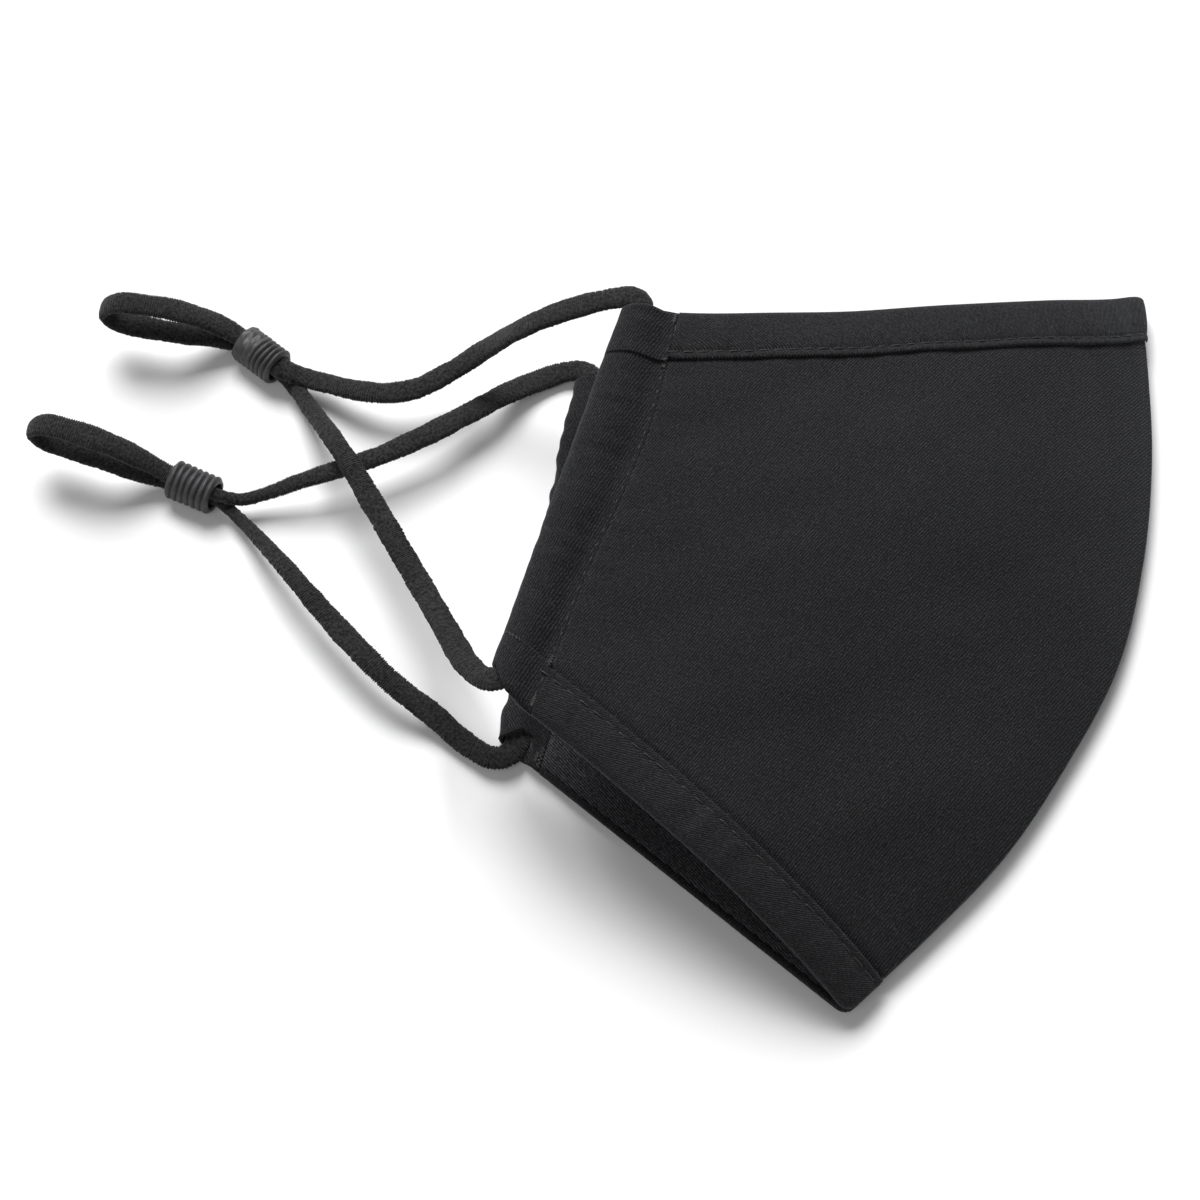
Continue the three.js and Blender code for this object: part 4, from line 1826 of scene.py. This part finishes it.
NEAR_ROUTE: Route = (
    (-0.0397, 0.0410, 0.03350), (-0.0379, 0.0470, 0.03370), (-0.0364, 0.0518, 0.03390),
    (-0.0363, 0.0538, 0.03400), (-0.0376, 0.0552, 0.03390), (-0.0401, 0.0556, 0.03330),
    (-0.0456, 0.0560, 0.03060), (-0.0520, 0.0572, 0.02480), (-0.0592, 0.0588, 0.01620),
    (-0.0660, 0.0592, 0.00840), (-0.0732, 0.0574, 0.00290), (-0.0796, 0.0547, 0.00130),
    (-0.0856, 0.0537, 0.00130), (-0.0916, 0.0545, 0.00130), (-0.0970, 0.0560, 0.00140),
    (-0.1022, 0.0568, 0.00300), (-0.1060, 0.0575, 0.00490), (-0.1104, 0.0613, 0.00490),
    (-0.1148, 0.0650, 0.00490), (-0.1190, 0.0673, 0.00540), (-0.1256, 0.0692, 0.00640),
    (-0.1325, 0.0702, 0.00700), (-0.1382, 0.0708, 0.00680), (-0.1408, 0.0710, 0.00420),
    (-0.1386, 0.0702, 0.00160), (-0.1324, 0.0686, 0.00130), (-0.1254, 0.0673, 0.00140),
    (-0.1194, 0.0666, 0.00180), (-0.1148, 0.0650, 0.00260), (-0.1104, 0.0613, 0.00260),
    (-0.1060, 0.0575, 0.00260), (-0.1030, 0.0542, 0.00180), (-0.1004, 0.0504, 0.00180),
    (-0.0958, 0.0429, 0.00370), (-0.0915, 0.0354, 0.00490), (-0.0878, 0.0290, 0.00400),
    (-0.0838, 0.0216, 0.00410), (-0.0792, 0.0116, 0.00700), (-0.0749, 0.0014, 0.01140),
    (-0.0720, -0.0061, 0.01600), (-0.0699, -0.0120, 0.02040), (-0.0683, -0.0166, 0.02440),
    (-0.0670, -0.0195, 0.02740), (-0.0654, -0.0217, 0.02880), (-0.0632, -0.0227, 0.02950),
    (-0.0611, -0.0221, 0.03000), (-0.0594, -0.0202, 0.03020), (-0.0560, -0.0100, 0.03090),
    (-0.0511, 0.0051, 0.03180), (-0.0460, 0.0210, 0.03260), (-0.0409, 0.0372, 0.03330),
)
FAR_ROUTE: Route = (
    (-0.0478, 0.0410, 0.00255), (-0.0467, 0.0470, 0.00255), (-0.0455, 0.0536, 0.00255),
    (-0.0455, 0.0568, 0.00250), (-0.0472, 0.0586, 0.00220), (-0.0504, 0.0588, 0.00180),
    (-0.0550, 0.0574, 0.00140), (-0.0616, 0.0542, 0.00130), (-0.0684, 0.0498, 0.00130),
    (-0.0771, 0.0444, 0.00130), (-0.0859, 0.0398, 0.00130), (-0.0924, 0.0372, 0.00130),
    (-0.1014, 0.0340, 0.00130), (-0.1074, 0.0315, 0.00150), (-0.1128, 0.0292, 0.00300),
    (-0.1174, 0.0292, 0.00490), (-0.1220, 0.0314, 0.00490), (-0.1266, 0.0336, 0.00490),
    (-0.1304, 0.0358, 0.00540), (-0.1366, 0.0388, 0.00620), (-0.1436, 0.0414, 0.00690),
    (-0.1500, 0.0432, 0.00680), (-0.1528, 0.0438, 0.00420), (-0.1502, 0.0430, 0.00160),
    (-0.1438, 0.0407, 0.00130), (-0.1369, 0.0379, 0.00140), (-0.1310, 0.0353, 0.00180),
    (-0.1266, 0.0336, 0.00260), (-0.1220, 0.0314, 0.00260), (-0.1174, 0.0292, 0.00260),
    (-0.1142, 0.0268, 0.00170), (-0.1114, 0.0242, 0.00130), (-0.1040, 0.0160, 0.00130),
    (-0.0960, 0.0061, 0.00130), (-0.0891, -0.0020, 0.00130), (-0.0814, -0.0102, 0.00130),
    (-0.0749, -0.0160, 0.00145), (-0.0702, -0.0208, 0.00165), (-0.0670, -0.0235, 0.00200),
    (-0.0642, -0.0252, 0.00235), (-0.0613, -0.0250, 0.00255), (-0.0594, -0.0226, 0.00255),
    (-0.0582, -0.0154, 0.00255), (-0.0555, -0.0016, 0.00255), (-0.0529, 0.0124, 0.00255),
    (-0.0504, 0.0262, 0.00255), (-0.0487, 0.0357, 0.00255),
)


def cloth_finishes(effects: SharedEffects, side: Side) -> dict[str, Material]:
    """Builds the cloth finishes of one half, each with its own run of the weave.

    Args:
        effects: The shared node groups.
        side: The half that they are for.

    Returns:
        A material for each kind of piece.
    """
    mirror = 1 if side is Side.NEAR else -1
    # Piece, name of its finish, turn of its weave in degrees, how far the weave wraps, and colour
    looks = (
        # The far panel's paler colour is painted light; the top hem's paler colour is partly painted light
        ("panel", "panel", -50, 0, BLACK_CLOTH if side is Side.NEAR else FAR_PANEL_PAINTED_LIGHT_CLOTH),
        (Edge.TOP.value, "top hem", 38, -1, TOP_HEM_PARTLY_PAINTED_LIGHT_CLOTH),
        (Edge.CHIN.value, "chin hem", 20, 1, BLACK_CLOTH),
        ("casing", "casing", -60, -0.45, BLACK_CLOTH),
    )
    finishes: dict[str, Material] = {}
    for key, piece, degrees, wrap, colour in looks:
        turn = math.radians(degrees) * mirror
        finish = TwillFinish(f"{side.value} {piece} twill", turn, colour, wrap=(0, wrap * mirror))
        finishes[key] = finish.build(effects)
    finishes["thread"] = ThreadFinish(f"{side.value} sewing thread").build(effects)
    return finishes


def main() -> None:
    """Builds the camera, the cords, the beads and both halves in order."""
    logging.basicConfig(level=logging.INFO, format="%(message)s")
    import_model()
    studio = Studio()
    studio.camera()
    effects = SharedEffects()
    knit = KnitFinish().build(effects)
    rubber = RubberFinish().build(effects)
    near_bead = AdjusterBead(Side.NEAR, turn=-40.4, material=rubber, smeared=0.85).dress()
    far_bead = AdjusterBead(Side.FAR, turn=-25.5, material=rubber, ribs=7).dress()
    EarCord(Side.NEAR, NEAR_ROUTE, near_bead, knit).dress()
    EarCord(Side.FAR, FAR_ROUTE, far_bead, knit, pinches=(0.5, 0.55), loop_pinch_reach=11 * MM).dress()
    sizes = MaskSizes()
    near = NearHalf(sizes, Side.NEAR, ear_top=(-0.312, 0.348), ear_chin=(-0.501, -0.152), outward=1.0)
    far = FarHalf(sizes, Side.FAR, ear_top=(-0.382, 0.371), ear_chin=(-0.492, -0.143), outward=-1.0)
    ClothHalf(near, cloth_finishes(effects, Side.NEAR), bow=CASING_BOW).dress()
    ClothHalf(
        far,
        cloth_finishes(effects, Side.FAR),
        mouth=FAR_MOUTH,
        bore_out=-0.5 * MM,
        ear_wobble=0.4 * MM,
        lower_cut=0.4 * MM,
    ).dress()
    studio.floor()
    studio.light()


if __name__ == "__main__":
    main()
